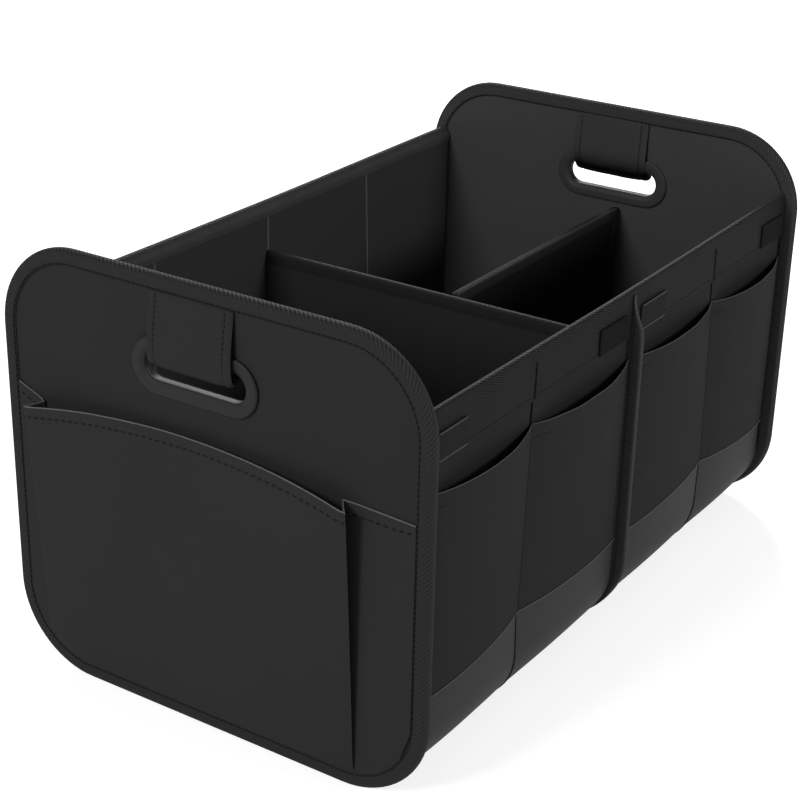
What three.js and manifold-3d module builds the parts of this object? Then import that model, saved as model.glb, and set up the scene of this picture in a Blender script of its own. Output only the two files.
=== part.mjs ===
// A folding car trunk organizer, standing open and empty.
// Lengths are millimetres and +Z is up. X runs along the length with the near end at -X.
// Y runs across, with the right long wall at -Y. The origin is on the ground below the middle.
import * as THREE from 'three';
import { mergeVertices } from 'three/addons/utils/BufferGeometryUtils.js';
import Module from 'manifold-3d';

const wasm = await Module();
wasm.setup();

// Cloth, boards, tape and the gap between pieces that touch
const gap = 0.3;
const clothThick = 1;
const liningThick = 0.8;
const panelBoardThick = 3;
const wallBoardThick = 3;
const tapeThick = 1.2;
const tapeWidth = 12;
const tapeEdgeRadius = 2.2;

// End panels
const bodyLength = 600;
const panelWidth = 380;
const panelHeight = 355;
const panelCorner = 70;
const cornerSteps = 8;

// Hand slot, its two-part plastic ring and the padded cloth wrap over it
const slotLength = 90;
const slotHeight = 23;
const slotAcross = 8;
const slotBelowTop = 68.5;
const slotSteps = 5;
const ringNeck = 2;
const ringFlangeWidth = 11;
const ringFlangeThick = 2.7;
const ringBevel = 1.2;
const ringLip = 2.4;
const wrapWidth = 74;
const wrapAcross = { near: 9, far: 5 };
const wrapThick = 2;
const wrapPadDepth = 8.2;
const wrapPlay = 2.2;
const wrapRamp = 5;
const wrapPadRound = 1.2;

// Pocket on each end panel, with its folds and pleats as distances in from the right and left sides
const endPocketFoldInsets = [59, 31];
const endPocketPleatInsets = [71, 38];
const endPocketBelowRing = 23;
const endPocketMouthBow = 12.5;
const endPocketSideRise = [-2, 11];
const endPocketMiddleDepth = 8;
const endPocketFoldDepth = 17;
const endPocketBottomRound = 0.15;
const endPocketFoldSharpness = 2.5;
const endPocketRises = [0, 0.02, 0.06, 0.15, 0.4, 0.7, 1];
const gussetFoot = 0.06;

// Long walls
const wallHeight = 305;
const floorUnderside = 4;
const troughCorner = 52;
const lowerBandTop = 92;
const foldLine = 150;
const boardFoldGap = 2;
const boardMiddleGap = 8;
const boardBelowRim = 10;
const bandOuterHeight = 40;
const bandInnerHeight = 13;
const bandThick = 1.2;
const bandEdgeRadius = 1.6;

// Pockets on the long walls
const pocketSeam = 1;
const pocketMouthBelowBand = 20;
const pocketBottomHeight = 90;
const pocketMouthDepth = 11.5;
const pocketBottomDepth = 6;
const pocketBottomRound = 10;
const pocketRoundingShares = [0, 0.06, 0.3, 1];
const pocketUpperShares = [0.33, 0.67, 1];

// Hook-and-loop patches, as the ends of each one along the wall
const patchSpans = [[-281, -243], [-55, -12], [12, 55], [243, 288]];
const patchAboveBand = 1.5;
const patchHeight = 21;
const patchThick = 1.4;
const patchCorner = 2;

// Bound seam round the middle
const finThick = 6;
const finBelowRim = 7;

// Dividers and base boards
const dividerBoardThick = 2.4;
const dividerClothThick = 0.8;
const dividerTapeThick = 0.8;
const dividerTapeWidth = 11;
const dividerTapeRadius = 1.4;
const middleDividerBelowRim = 45;
const longDividerTop = 261;
const longDividerAcross = -15;
const longDividerCorner = 6;
const baseBoardThick = 3;

// Points closer than this are one point
const weldDistance = 1e-4;
const leastStep = 0.03;

// Depths into an end panel, measured from its outer face
const coverDepth = tapeThick + gap;
const panelBoardDepth = coverDepth + clothThick + gap;
const panelLiningDepth = panelBoardDepth + panelBoardThick + gap;
const panelInnerFace = panelLiningDepth + clothThick;
const tapeInnerLegDepth = panelInnerFace + gap;
const panelThick = tapeInnerLegDepth + tapeThick;
const layerInset = tapeThick + gap;

// Heights on an end panel
const slotCentreHeight = panelHeight - slotBelowTop;
const ringBottom = slotCentreHeight - slotHeight / 2 - ringFlangeWidth;
const endPocketMouthMiddle = ringBottom - endPocketBelowRing;
const endPocketMouthFold = endPocketMouthMiddle - endPocketMouthBow;
const endPocketMouthSides = endPocketSideRise.map((rise) => endPocketMouthFold + rise);
const endPocketFolds = acrossPanel(endPocketFoldInsets);
const endPocketPleats = acrossPanel(endPocketPleatInsets);

// The trough of walls and floor hangs between the tapes of the end panels
const panelOuterX = bodyLength / 2;
const troughEndX = panelOuterX - panelThick - gap;
const fieldInset = tapeWidth + gap;
const fieldCorner = panelCorner - fieldInset;
const wallFace = panelWidth / 2 - fieldInset;
const boardFace = wallFace - clothThick - gap;
const liningFace = boardFace - wallBoardThick - gap;
const liningFloor = floorUnderside + clothThick + gap;
const liningCorner = liningFace - (wallFace - troughCorner);
const insideFace = liningFace - liningThick;
const insideFloor = liningFloor + liningThick;
const insideCorner = liningCorner - liningThick;
const layerTop = wallHeight - bandThick - gap;
const bandFace = wallFace + gap + bandThick;
const bandBottom = wallHeight - bandOuterHeight;
const pocketMouthHeight = bandBottom - pocketMouthBelowBand;
const finTop = wallHeight - finBelowRim;
const middleDividerTop = wallHeight - middleDividerBelowRim;

// Divider thickness from its middle
const dividerCore = dividerBoardThick / 2;
const dividerFace = dividerCore + gap + dividerClothThick;
const dividerTapeFace = dividerFace + gap + dividerTapeThick;

// Two places across a panel, from their distances to its right and left sides.
function acrossPanel(insets) {
  return [insets[0] - panelWidth / 2, panelWidth / 2 - insets[1]];
}

function lerp(from, to, share) {
  return from + (to - from) * share;
}

// Surface finishes
function finish(colour, roughness) {
  return new THREE.MeshStandardMaterial({ color: colour, roughness, metalness: 0 });
}

const panelCloth = finish(0x2e2e2e, 0.9);
const pocketCloth = finish(0x2b2b2b, 0.9);
const lowerCloth = finish(0x3a3a3a, 0.8);
const liningCloth = finish(0x1d1d1d, 0.9);
const edgeTape = finish(0x262626, 0.85);
const stiffBoard = finish(0x6a655c, 0.8);
const slotPlastic = finish(0x2c2c2e, 0.5);
const fastener = finish(0x202020, 0.95);

// Mesh building

// A closed mesh from points and triangles, with its faces turned to point out.
function closedGeometry(points, triangles) {
  const cross = new THREE.Vector3();
  let volume = 0;
  for (const [a, b, c] of triangles) {
    volume += points[a].dot(cross.crossVectors(points[b], points[c]));
  }
  const turned = volume < 0 ? triangles.map(([a, b, c]) => [a, c, b]) : triangles;
  const geometry = new THREE.BufferGeometry();
  geometry.setAttribute('position', new THREE.Float32BufferAttribute(points.flatMap((p) => p.toArray()), 3));
  geometry.setIndex(turned.flat());
  return geometry;
}

// A section carried round a closed outline. Each section point is [distance out, depth].
function ringSolid(outline, section, place) {
  const points = [];
  for (const o of outline) {
    for (const [out, depth] of section) {
      points.push(place(o.u + o.outU * out, o.v + o.outV * out, depth));
    }
  }
  const triangles = [];
  const count = section.length;
  for (let i = 0; i < outline.length; i += 1) {
    const here = i * count;
    const next = ((i + 1) % outline.length) * count;
    for (let j = 0; j < count; j += 1) {
      const k = (j + 1) % count;
      triangles.push([here + j, here + k, next + k], [here + j, next + k, next + j]);
    }
  }
  return closedGeometry(points, triangles);
}

// A sheet with two faces. front and back give a point for each column and row of its grid.
function sheetSolid(columns, rows, front, back) {
  const points = [];
  for (const face of [front, back]) {
    for (let i = 0; i <= columns; i += 1) {
      for (let j = 0; j <= rows; j += 1) {
        points.push(face(i, j));
      }
    }
  }
  const backStart = (columns + 1) * (rows + 1);
  const at = (i, j) => i * (rows + 1) + j;
  const triangles = [];
  for (let i = 0; i < columns; i += 1) {
    for (let j = 0; j < rows; j += 1) {
      const quad = [at(i, j), at(i + 1, j), at(i + 1, j + 1), at(i, j + 1)];
      const [a, b, c, d] = quad;
      triangles.push([a, b, c], [a, c, d]);
      const [e, f, g, h] = quad.map((index) => index + backStart);
      triangles.push([e, g, f], [e, h, g]);
    }
  }
  const rim = [];
  for (let i = 0; i < columns; i += 1) rim.push(at(i, 0));
  for (let j = 0; j < rows; j += 1) rim.push(at(columns, j));
  for (let i = columns; i > 0; i -= 1) rim.push(at(i, rows));
  for (let j = rows; j > 0; j -= 1) rim.push(at(0, j));
  rim.forEach((a, index) => {
    const b = rim[(index + 1) % rim.length];
    triangles.push([a, a + backStart, b + backStart], [a, b + backStart, b]);
  });
  return closedGeometry(points, triangles);
}

// Points round a rectangle with round corners, each with the direction that leads out of it.
function roundedOutline(low, high, bottom, top, radius, steps) {
  const corners = [
    [high - radius, bottom + radius, -90],
    [high - radius, top - radius, 0],
    [low + radius, top - radius, 90],
    [low + radius, bottom + radius, 180],
  ];
  const outline = [];
  for (const [centreU, centreV, start] of corners) {
    for (let k = 0; k <= steps; k += 1) {
      const angle = THREE.MathUtils.degToRad(start + (90 * k) / steps);
      const outU = Math.cos(angle);
      const outV = Math.sin(angle);
      outline.push({ u: centreU + radius * outU, v: centreV + radius * outV, outU, outV });
    }
  }
  return outline.filter((o, index) => {
    const last = outline[(index + outline.length - 1) % outline.length];
    return Math.hypot(o.u - last.u, o.v - last.v) > leastStep;
  });
}

function outlinePoints(outline, out) {
  return outline.map((o) => new THREE.Vector2(o.u + o.outU * out, o.v + o.outV * out));
}

function polygon(points) {
  return new THREE.Shape(points.map(([a, b]) => new THREE.Vector2(a, b)));
}

// A drawing in Y and Z, carried along X.
function alongX(shape, start, end) {
  const geometry = new THREE.ExtrudeGeometry(shape, { depth: end - start, bevelEnabled: false });
  const basis = new THREE.Matrix4().makeBasis(
    new THREE.Vector3(0, 1, 0),
    new THREE.Vector3(0, 0, 1),
    new THREE.Vector3(1, 0, 0),
  );
  return geometry.applyMatrix4(basis).translate(start, 0, 0);
}

// A drawing in X and Z, carried along Y.
function alongY(shape, start, end) {
  const geometry = new THREE.ExtrudeGeometry(shape, { depth: end - start, bevelEnabled: false });
  return geometry.rotateX(Math.PI / 2).translate(0, end, 0);
}

function toSolid(geometry) {
  const bare = geometry.clone();
  bare.deleteAttribute('normal');
  bare.deleteAttribute('uv');
  const merged = mergeVertices(bare, weldDistance);
  const vertProperties = new Float32Array(merged.attributes.position.array);
  const triVerts = new Uint32Array(merged.index.array);
  return new wasm.Manifold(new wasm.Mesh({ numProp: 3, vertProperties, triVerts }));
}

function toGeometry(solid) {
  const mesh = solid.getMesh();
  const geometry = new THREE.BufferGeometry();
  geometry.setAttribute('position', new THREE.BufferAttribute(new Float32Array(mesh.vertProperties), 3));
  geometry.setIndex(new THREE.BufferAttribute(new Uint32Array(mesh.triVerts), 1));
  return geometry;
}

function add(group, name, geometry, material) {
  const mesh = new THREE.Mesh(geometry, material);
  mesh.name = name;
  group.add(mesh);
}

// Folded tape: a channel with round edges, open towards the panel that it binds.
// Distances out are negative inside the outline, and depths run from first to last.
function tapeSection(first, last, thick, width, radius) {
  const edge = [];
  const steps = 2;
  for (let k = 0; k <= steps; k += 1) {
    const angle = (Math.PI / 2) * (k / steps);
    edge.push([-radius + radius * Math.sin(angle), first + radius - radius * Math.cos(angle)]);
  }
  const mirrored = edge.map(([out, depth]) => [out, first + last - depth]).reverse();
  const channel = [[-width, last], [-width, last - thick], [-thick, last - thick], [-thick, first + thick]];
  return [[-width, first], ...edge, ...mirrored, ...channel, [-width, first + thick]];
}

// End panels

const panelOutline = roundedOutline(-panelWidth / 2, panelWidth / 2, 0, panelHeight, panelCorner, cornerSteps);
const slotOutline = roundedOutline(
  slotAcross - slotLength / 2,
  slotAcross + slotLength / 2,
  slotCentreHeight - slotHeight / 2,
  slotCentreHeight + slotHeight / 2,
  slotHeight / 2,
  slotSteps,
);

// A point of the near end from across, height and depth into the panel.
function endPoint(across, height, depth) {
  return new THREE.Vector3(depth - panelOuterX, across, height);
}

// A layer of the panel, inside the tape and with room for the neck of the ring.
function panelLayer(depth, thick) {
  const shape = new THREE.Shape(outlinePoints(panelOutline, -layerInset));
  shape.holes.push(new THREE.Path(outlinePoints(slotOutline, ringNeck + gap)));
  return alongX(shape, depth - panelOuterX, depth + thick - panelOuterX);
}

function panelTape() {
  const section = tapeSection(0, panelThick, tapeThick, tapeWidth, tapeEdgeRadius);
  return ringSolid(panelOutline, section, endPoint);
}

// The outer half of the ring carries the neck. Its flange lies on the cover.
function ringOuterHalf() {
  const under = coverDepth - gap;
  const top = under - ringFlangeThick;
  return ringSolid(slotOutline, [
    [0, panelInnerFace],
    [ringNeck, panelInnerFace],
    [ringNeck, under],
    [ringFlangeWidth, under],
    [ringFlangeWidth, top + ringBevel],
    [ringFlangeWidth - ringBevel, top],
    [ringBevel + ringLip, top],
    [ringBevel, top + ringBevel],
    [0, under],
  ], endPoint);
}

// The inner half clips on from inside. Its flange lies on the panel's lining.
function ringInnerHalf() {
  const under = panelInnerFace + gap;
  const top = under + ringFlangeThick;
  return ringSolid(slotOutline, [
    [0, under],
    [ringFlangeWidth, under],
    [ringFlangeWidth, top - ringBevel],
    [ringFlangeWidth - ringBevel, top],
    [ringBevel + ringLip, top],
    [ringBevel, top - ringBevel],
  ], endPoint);
}

// The wrap runs down the cover, under the top of the slot and up the lining.
function handleWrap(end) {
  const slotTop = slotCentreHeight + slotHeight / 2;
  const flangeTop = slotTop + ringFlangeWidth;
  const top = panelHeight - tapeWidth - gap;
  const padTop = slotTop - wrapPlay;
  const padBottom = padTop - wrapPadDepth;
  const front = {
    panel: coverDepth - gap,
    flange: coverDepth - gap - ringFlangeThick - gap,
    away: -1,
  };
  const back = {
    panel: panelInnerFace + gap,
    flange: panelInnerFace + gap + ringFlangeThick + gap,
    away: 1,
  };
  const leg = ({ panel, flange, away }) => ({
    inner: [
      [flange, padTop],
      [flange, flangeTop + gap],
      [panel, flangeTop + wrapRamp],
      [panel, top],
    ],
    outer: [
      [panel + away * wrapThick, top],
      [panel + away * wrapThick, flangeTop + wrapRamp],
      [flange + away * wrapThick, flangeTop + gap],
      [flange + away * wrapThick, padBottom + wrapPadDepth / 2],
      [flange + (away * wrapThick) / 2, padBottom + wrapPadRound],
      [flange - (away * wrapThick) / 2, padBottom],
    ],
  });
  const frontLeg = leg(front);
  const backLeg = leg(back);
  const shape = polygon([
    ...frontLeg.inner,
    ...frontLeg.outer,
    ...backLeg.outer.slice().reverse(),
    ...backLeg.inner.slice().reverse(),
  ]);
  const middle = wrapAcross[end];
  return alongY(shape, middle - wrapWidth / 2, middle + wrapWidth / 2).translate(-panelOuterX, 0, 0);
}

// Height of the lower edge of the field inside the tape.
function fieldBottomAt(across) {
  const straight = panelWidth / 2 - panelCorner;
  const beyond = Math.max(0, Math.abs(across) - straight);
  return panelCorner - Math.sqrt(fieldCorner ** 2 - beyond ** 2);
}

const endPocketFace = coverDepth - gap - clothThick;

function endPocketMouth(share) {
  const fromMiddle = 2 * share - 1;
  return lerp(endPocketMouthMiddle, endPocketMouthFold, fromMiddle ** 2);
}

// How far the front stands off the panel, across it (share) and up it (rise), both 0 to 1.
function endPocketBulge(share, rise) {
  const closing = 1 - Math.min(1, rise / endPocketBottomRound);
  const middle = endPocketMiddleDepth * Math.sqrt(1 - closing ** 2);
  const fold = endPocketFoldDepth * rise;
  return lerp(middle, fold, Math.abs(2 * share - 1) ** endPocketFoldSharpness);
}

function endPocketFront() {
  const columns = 16;
  const point = (column, row, extra) => {
    const share = column / columns;
    const rise = endPocketRises[row];
    const across = lerp(endPocketFolds[0], endPocketFolds[1], share);
    const height = lerp(fieldBottomAt(across), endPocketMouth(share), rise);
    return endPoint(across, height, endPocketFace + extra - endPocketBulge(share, rise));
  };
  const front = (column, row) => point(column, row, 0);
  const back = (column, row) => point(column, row, clothThick);
  return sheetSolid(columns, endPocketRises.length - 1, front, back);
}

// The gusset between a front fold and the pleat that lies on the panel.
function endPocketGusset(side) {
  const fold = endPocketFolds[side];
  const pleat = endPocketPleats[side];
  const bottom = fieldBottomAt(fold);
  const middleFace = endPocketFace + clothThick / 2;
  const rows = 6;
  const edges = (row) => {
    const rise = lerp(gussetFoot, 1, row / rows);
    const height = lerp(bottom, endPocketMouthFold, rise);
    const inner = endPoint(lerp(fold, pleat, rise), height, middleFace);
    const outer = endPoint(fold, height, middleFace - endPocketBulge(side, rise));
    return [inner, outer];
  };
  const face = (away) => (column, row) => {
    const [inner, outer] = edges(row);
    const along = outer.clone().sub(inner).normalize();
    const across = new THREE.Vector3(-along.y, along.x, 0).multiplyScalar((away * clothThick) / 2);
    return (column === 0 ? inner : outer).clone().add(across);
  };
  return sheetSolid(1, rows, face(1), face(-1));
}

// The flat part between a pleat and the tape.
function endPocketFlat(side) {
  const sign = side === 0 ? -1 : 1;
  const fold = endPocketFolds[side];
  const steps = 8;
  const lower = [];
  for (let k = 0; k <= steps; k += 1) {
    const across = lerp(fold, sign * wallFace, Math.sin((Math.PI / 2) * (k / steps)));
    lower.push([across, fieldBottomAt(across)]);
  }
  const shape = polygon([
    ...lower,
    [sign * wallFace, endPocketMouthSides[side]],
    [endPocketPleats[side], endPocketMouthFold],
  ]);
  const start = endPocketFace - panelOuterX;
  return alongX(shape, start, start + clothThick);
}

function endPocket() {
  let solid = toSolid(endPocketFront());
  for (const side of [0, 1]) {
    solid = solid.add(toSolid(endPocketGusset(side))).add(toSolid(endPocketFlat(side)));
  }
  return toGeometry(solid);
}

function buildEnd(end) {
  const group = new THREE.Group();
  add(group, `${end}_end_cover`, panelLayer(coverDepth, clothThick), panelCloth);
  add(group, `${end}_end_board`, panelLayer(panelBoardDepth, panelBoardThick), stiffBoard);
  add(group, `${end}_end_lining`, panelLayer(panelLiningDepth, clothThick), panelCloth);
  add(group, `${end}_end_binding`, panelTape(), edgeTape);
  add(group, `${end}_grommet_outer`, ringOuterHalf(), slotPlastic);
  add(group, `${end}_grommet_inner`, ringInnerHalf(), slotPlastic);
  add(group, `${end}_handle_wrap`, handleWrap(end), panelCloth);
  add(group, `${end}_end_pocket`, endPocket(), pocketCloth);
  group.rotation.z = end === 'far' ? Math.PI : 0;
  return group;
}

// Walls and floor

// The path of a trough from its left top, down, across the floor and up to its right top.
function troughPath(face, floor, radius, top) {
  const path = [[-face, top]];
  for (const [sign, start] of [[-1, 180], [1, 270]]) {
    for (let k = 0; k <= cornerSteps; k += 1) {
      const angle = THREE.MathUtils.degToRad(start + (90 * k) / cornerSteps);
      const centre = sign * (face - radius);
      path.push([centre + radius * Math.cos(angle), floor + radius + radius * Math.sin(angle)]);
    }
  }
  path.push([face, top]);
  return path;
}

function troughSheet(face, floor, radius, thick, top) {
  const outer = troughPath(face, floor, radius, top);
  const inner = troughPath(face - thick, floor + thick, radius - thick, top);
  return polygon([...outer, ...inner.reverse()]);
}

function addTrough(group) {
  const halves = [['near', -troughEndX, -gap / 2], ['far', gap / 2, troughEndX]];
  for (const [half, start, end] of halves) {
    const bottom = troughSheet(wallFace, floorUnderside, troughCorner, clothThick, lowerBandTop);
    add(group, `bottom_${half}`, alongX(bottom, start, end), lowerCloth);
    const lining = troughSheet(liningFace, liningFloor, liningCorner, liningThick, layerTop);
    add(group, `lining_${half}`, alongX(lining, start, end), liningCloth);
  }
}

// The ribbed band folded over the top of a wall.
function topBand() {
  const innerFace = insideFace - gap - bandThick;
  const round = (centre, sign) => {
    const points = [];
    const steps = 3;
    for (let k = 0; k <= steps; k += 1) {
      const angle = (Math.PI / 2) * (k / steps);
      points.push([
        -(centre + sign * bandEdgeRadius * Math.cos(angle)),
        wallHeight - bandEdgeRadius + bandEdgeRadius * Math.sin(angle),
      ]);
    }
    return sign > 0 ? points : points.reverse();
  };
  const innerBottom = wallHeight - bandInnerHeight;
  const shape = polygon([
    [-bandFace, bandBottom],
    ...round(bandFace - bandEdgeRadius, 1),
    ...round(innerFace + bandEdgeRadius, -1),
    [-innerFace, innerBottom],
    [-(innerFace + bandThick), innerBottom],
    [-(innerFace + bandThick), wallHeight - bandThick],
    [-(bandFace - bandThick), wallHeight - bandThick],
    [-(bandFace - bandThick), bandBottom],
  ]);
  return alongX(shape, -troughEndX, troughEndX);
}

// A pocket bows away from the wall between its two seams and is closed at the bottom.
function wallPocket(start, end) {
  const columns = 10;
  const rounding = pocketRoundingShares.map((share) => pocketBottomHeight + share * pocketBottomRound);
  const upper = pocketUpperShares.map((share) => {
    return lerp(pocketBottomHeight + pocketBottomRound, pocketMouthHeight, share);
  });
  const heights = [...rounding, ...upper];
  const bulge = (share, height) => {
    const rise = (height - pocketBottomHeight) / (pocketMouthHeight - pocketBottomHeight);
    const closing = 1 - Math.min(1, (height - pocketBottomHeight) / pocketBottomRound);
    const depth = lerp(pocketBottomDepth, pocketMouthDepth, rise) * Math.sqrt(1 - closing ** 2);
    return depth * (1 - (2 * share - 1) ** 2);
  };
  const point = (column, row, extra) => {
    const share = column / columns;
    const out = wallFace + gap + extra + bulge(share, heights[row]);
    return new THREE.Vector3(lerp(start, end, share), -out, heights[row]);
  };
  const outer = (column, row) => point(column, row, clothThick);
  const inner = (column, row) => point(column, row, 0);
  return sheetSolid(columns, heights.length - 1, outer, inner);
}

function patch([start, end]) {
  const bottom = bandBottom + patchAboveBand;
  const outline = roundedOutline(start, end, bottom, bottom + patchHeight, patchCorner, 2);
  const shape = new THREE.Shape(outlinePoints(outline, 0));
  const face = bandFace + gap;
  return alongY(shape, -(face + patchThick), -face);
}

// A wall as seen on the right side. Its pieces are numbered from the near end.
function buildWall(side) {
  const group = new THREE.Group();
  const turned = side === 'left';
  const numbered = (index) => (turned ? 4 - index : index + 1);
  const halves = [[-troughEndX, -gap / 2], [gap / 2, troughEndX]];
  halves.forEach(([start, end], index) => {
    const half = (index === 0) === turned ? 'far' : 'near';
    const shape = polygon([[start, lowerBandTop + gap], [end, lowerBandTop + gap], [end, layerTop], [start, layerTop]]);
    add(group, `${side}_wall_cloth_${half}`, alongY(shape, -wallFace, clothThick - wallFace), panelCloth);
  });
  const boardBottom = floorUnderside + troughCorner;
  const boards = [
    [-troughEndX, -foldLine - boardFoldGap / 2],
    [-foldLine + boardFoldGap / 2, -boardMiddleGap / 2],
    [boardMiddleGap / 2, foldLine - boardFoldGap / 2],
    [foldLine + boardFoldGap / 2, troughEndX],
  ];
  const boardTop = wallHeight - boardBelowRim;
  boards.forEach(([start, end], index) => {
    const shape = polygon([[start, boardBottom], [end, boardBottom], [end, boardTop], [start, boardTop]]);
    const geometry = alongY(shape, -boardFace, wallBoardThick - boardFace);
    add(group, `${side}_board_${numbered(index)}`, geometry, stiffBoard);
  });
  add(group, `${side}_top_band`, topBand(), edgeTape);
  const finSide = finThick / 2 + gap;
  const pockets = [
    [-troughEndX, -foldLine - pocketSeam / 2],
    [-foldLine + pocketSeam / 2, -finSide],
    [finSide, foldLine - pocketSeam / 2],
    [foldLine + pocketSeam / 2, troughEndX],
  ];
  pockets.forEach(([start, end], index) => {
    add(group, `${side}_pocket_${numbered(index)}`, wallPocket(start, end), pocketCloth);
  });
  patchSpans.forEach((span, index) => {
    add(group, `${side}_patch_${numbered(index)}`, patch(span), fastener);
  });
  group.rotation.z = turned ? Math.PI : 0;
  return group;
}

// The bound seam stands proud of the walls and floor and passes over the two top bands.
function middleSeam() {
  const face = wallFace + gap;
  const outer = troughPath(panelWidth / 2, 0, panelCorner, finTop);
  const inner = troughPath(face, floorUnderside - gap, troughCorner + gap, bandBottom - gap);
  const overBand = bandFace + gap;
  const shape = polygon([
    ...outer,
    [overBand, finTop],
    [overBand, bandBottom - gap],
    ...inner.reverse(),
    [-overBand, bandBottom - gap],
    [-overBand, finTop],
  ]);
  return alongX(shape, -finThick / 2, finThick / 2);
}

// Dividers

// A cloth sleeve over a board, open at its lower edge.
function sleeve(outside, cavity) {
  return toGeometry(toSolid(outside).subtract(toSolid(cavity)));
}

function addMiddleDivider(group) {
  const face = insideFace - gap;
  const floor = insideFloor + gap;
  const top = middleDividerTop - dividerTapeThick - gap;
  const edge = dividerClothThick + gap;
  const outside = new THREE.Shape(troughPath(face, floor, insideCorner - gap, top).map((p) => new THREE.Vector2(...p)));
  const core = (extra, lower) => polygon(troughPath(
    face - edge + extra,
    floor + lower,
    insideCorner - gap - edge + extra,
    top - edge + extra,
  ));
  const halfCavity = dividerCore + gap;
  const cover = sleeve(
    alongX(outside, -dividerFace, dividerFace),
    alongX(core(gap, -edge), -halfCavity, halfCavity),
  );
  add(group, 'middle_divider_cover', cover, liningCloth);
  add(group, 'middle_divider_board', alongX(core(0, 0), -dividerCore, dividerCore), stiffBoard);
  const section = tapeSection(
    -dividerTapeFace,
    dividerTapeFace,
    dividerTapeThick,
    dividerTapeWidth,
    dividerTapeRadius,
  );
  const shape = polygon(section.map(([out, depth]) => [depth, middleDividerTop + out]));
  add(group, 'middle_divider_binding', alongY(shape, -face, face), edgeTape);
}

function addLongDivider(group) {
  const start = dividerTapeFace + gap;
  const end = troughEndX;
  const bottom = insideFloor + gap + baseBoardThick + gap;
  const outline = roundedOutline(start, end, bottom, longDividerTop, longDividerCorner, 3);
  const inset = dividerTapeThick + gap;
  const edge = inset + dividerClothThick + gap;
  const outside = new THREE.Shape(outlinePoints(outline, -inset));
  const board = new THREE.Shape(outlinePoints(outline, -edge));
  const cavityShape = polygon([
    [start + edge - gap, bottom],
    [end - edge + gap, bottom],
    [end - edge + gap, longDividerTop - edge + gap],
    [start + edge - gap, longDividerTop - edge + gap],
  ]);
  const halfCavity = dividerCore + gap;
  const cover = sleeve(alongY(outside, -dividerFace, dividerFace), alongY(cavityShape, -halfCavity, halfCavity));
  const window = polygon([
    [start + dividerTapeWidth, bottom + dividerTapeWidth],
    [end - dividerTapeWidth, bottom + dividerTapeWidth],
    [end - dividerTapeWidth, longDividerTop - dividerTapeWidth],
    [start + dividerTapeWidth, longDividerTop - dividerTapeWidth],
  ]);
  const tapeShape = new THREE.Shape(outlinePoints(outline, 0));
  const channelShape = new THREE.Shape(outlinePoints(outline, -dividerTapeThick));
  const halfChannel = dividerTapeFace - dividerTapeThick;
  const halfWindow = dividerTapeFace + gap;
  const binding = toSolid(alongY(tapeShape, -dividerTapeFace, dividerTapeFace))
    .subtract(toSolid(alongY(channelShape, -halfChannel, halfChannel)))
    .subtract(toSolid(alongY(window, -halfWindow, halfWindow)));
  const divider = new THREE.Group();
  add(divider, 'long_divider_cover', cover, liningCloth);
  add(divider, 'long_divider_board', alongY(board, -dividerCore, dividerCore), stiffBoard);
  add(divider, 'long_divider_binding', toGeometry(binding), edgeTape);
  divider.position.y = longDividerAcross;
  group.add(divider);
}

// Two loose stiff boards lie on the floor, one each side of the middle divider.
function addBaseBoards(group) {
  const half = liningFace - liningCorner;
  const floor = insideFloor + gap;
  const shape = polygon([[-half, floor], [half, floor], [half, floor + baseBoardThick], [-half, floor + baseBoardThick]]);
  const inner = dividerFace + gap;
  add(group, 'base_board_near', alongX(shape, -troughEndX, -inner), liningCloth);
  add(group, 'base_board_far', alongX(shape, inner, troughEndX), liningCloth);
}

const organizer = new THREE.Group();
organizer.add(buildEnd('near'), buildEnd('far'), buildWall('right'), buildWall('left'));
addTrough(organizer);
add(organizer, 'middle_seam_binding', middleSeam(), edgeTape);
addMiddleDivider(organizer);
addLongDivider(organizer);
addBaseBoards(organizer);

export default organizer;
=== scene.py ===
"""A folding car trunk organizer, standing open and empty, dressed over its fixed frame.

The boards of the frame stay. Every piece of cloth, tape and plastic is made here at its real fineness.
Lengths are millimetres until a mesh is written, and metres in Blender.
"""
import math
import bmesh
import bpy
import numpy as np
from mathutils import Matrix, Vector, noise


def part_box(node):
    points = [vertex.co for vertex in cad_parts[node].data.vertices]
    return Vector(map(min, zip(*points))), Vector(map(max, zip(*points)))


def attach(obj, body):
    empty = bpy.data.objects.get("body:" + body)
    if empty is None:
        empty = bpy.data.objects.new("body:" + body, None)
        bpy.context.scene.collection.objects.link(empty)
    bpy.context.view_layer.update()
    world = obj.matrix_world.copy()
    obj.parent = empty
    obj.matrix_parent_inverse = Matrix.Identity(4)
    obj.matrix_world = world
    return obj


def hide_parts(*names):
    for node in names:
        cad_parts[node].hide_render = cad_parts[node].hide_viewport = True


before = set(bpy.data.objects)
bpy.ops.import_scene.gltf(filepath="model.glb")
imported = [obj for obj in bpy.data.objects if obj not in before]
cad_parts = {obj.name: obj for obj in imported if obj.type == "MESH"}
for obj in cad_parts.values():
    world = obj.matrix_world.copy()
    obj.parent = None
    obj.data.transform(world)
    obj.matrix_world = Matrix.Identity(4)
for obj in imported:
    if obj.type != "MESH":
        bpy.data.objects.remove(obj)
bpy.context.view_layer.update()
MM = 0.001


# Camera, at the photograph's place and angle

CAMERA_PLACE = (-1.2077, -0.7530, 0.7993)
CAMERA_AZIMUTH = -56.97
CAMERA_ELEVATION = 24.13
CAMERA_ROLL = 1.33
CAMERA_LENS = 83.31
CAMERA_FILM = 36


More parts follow.
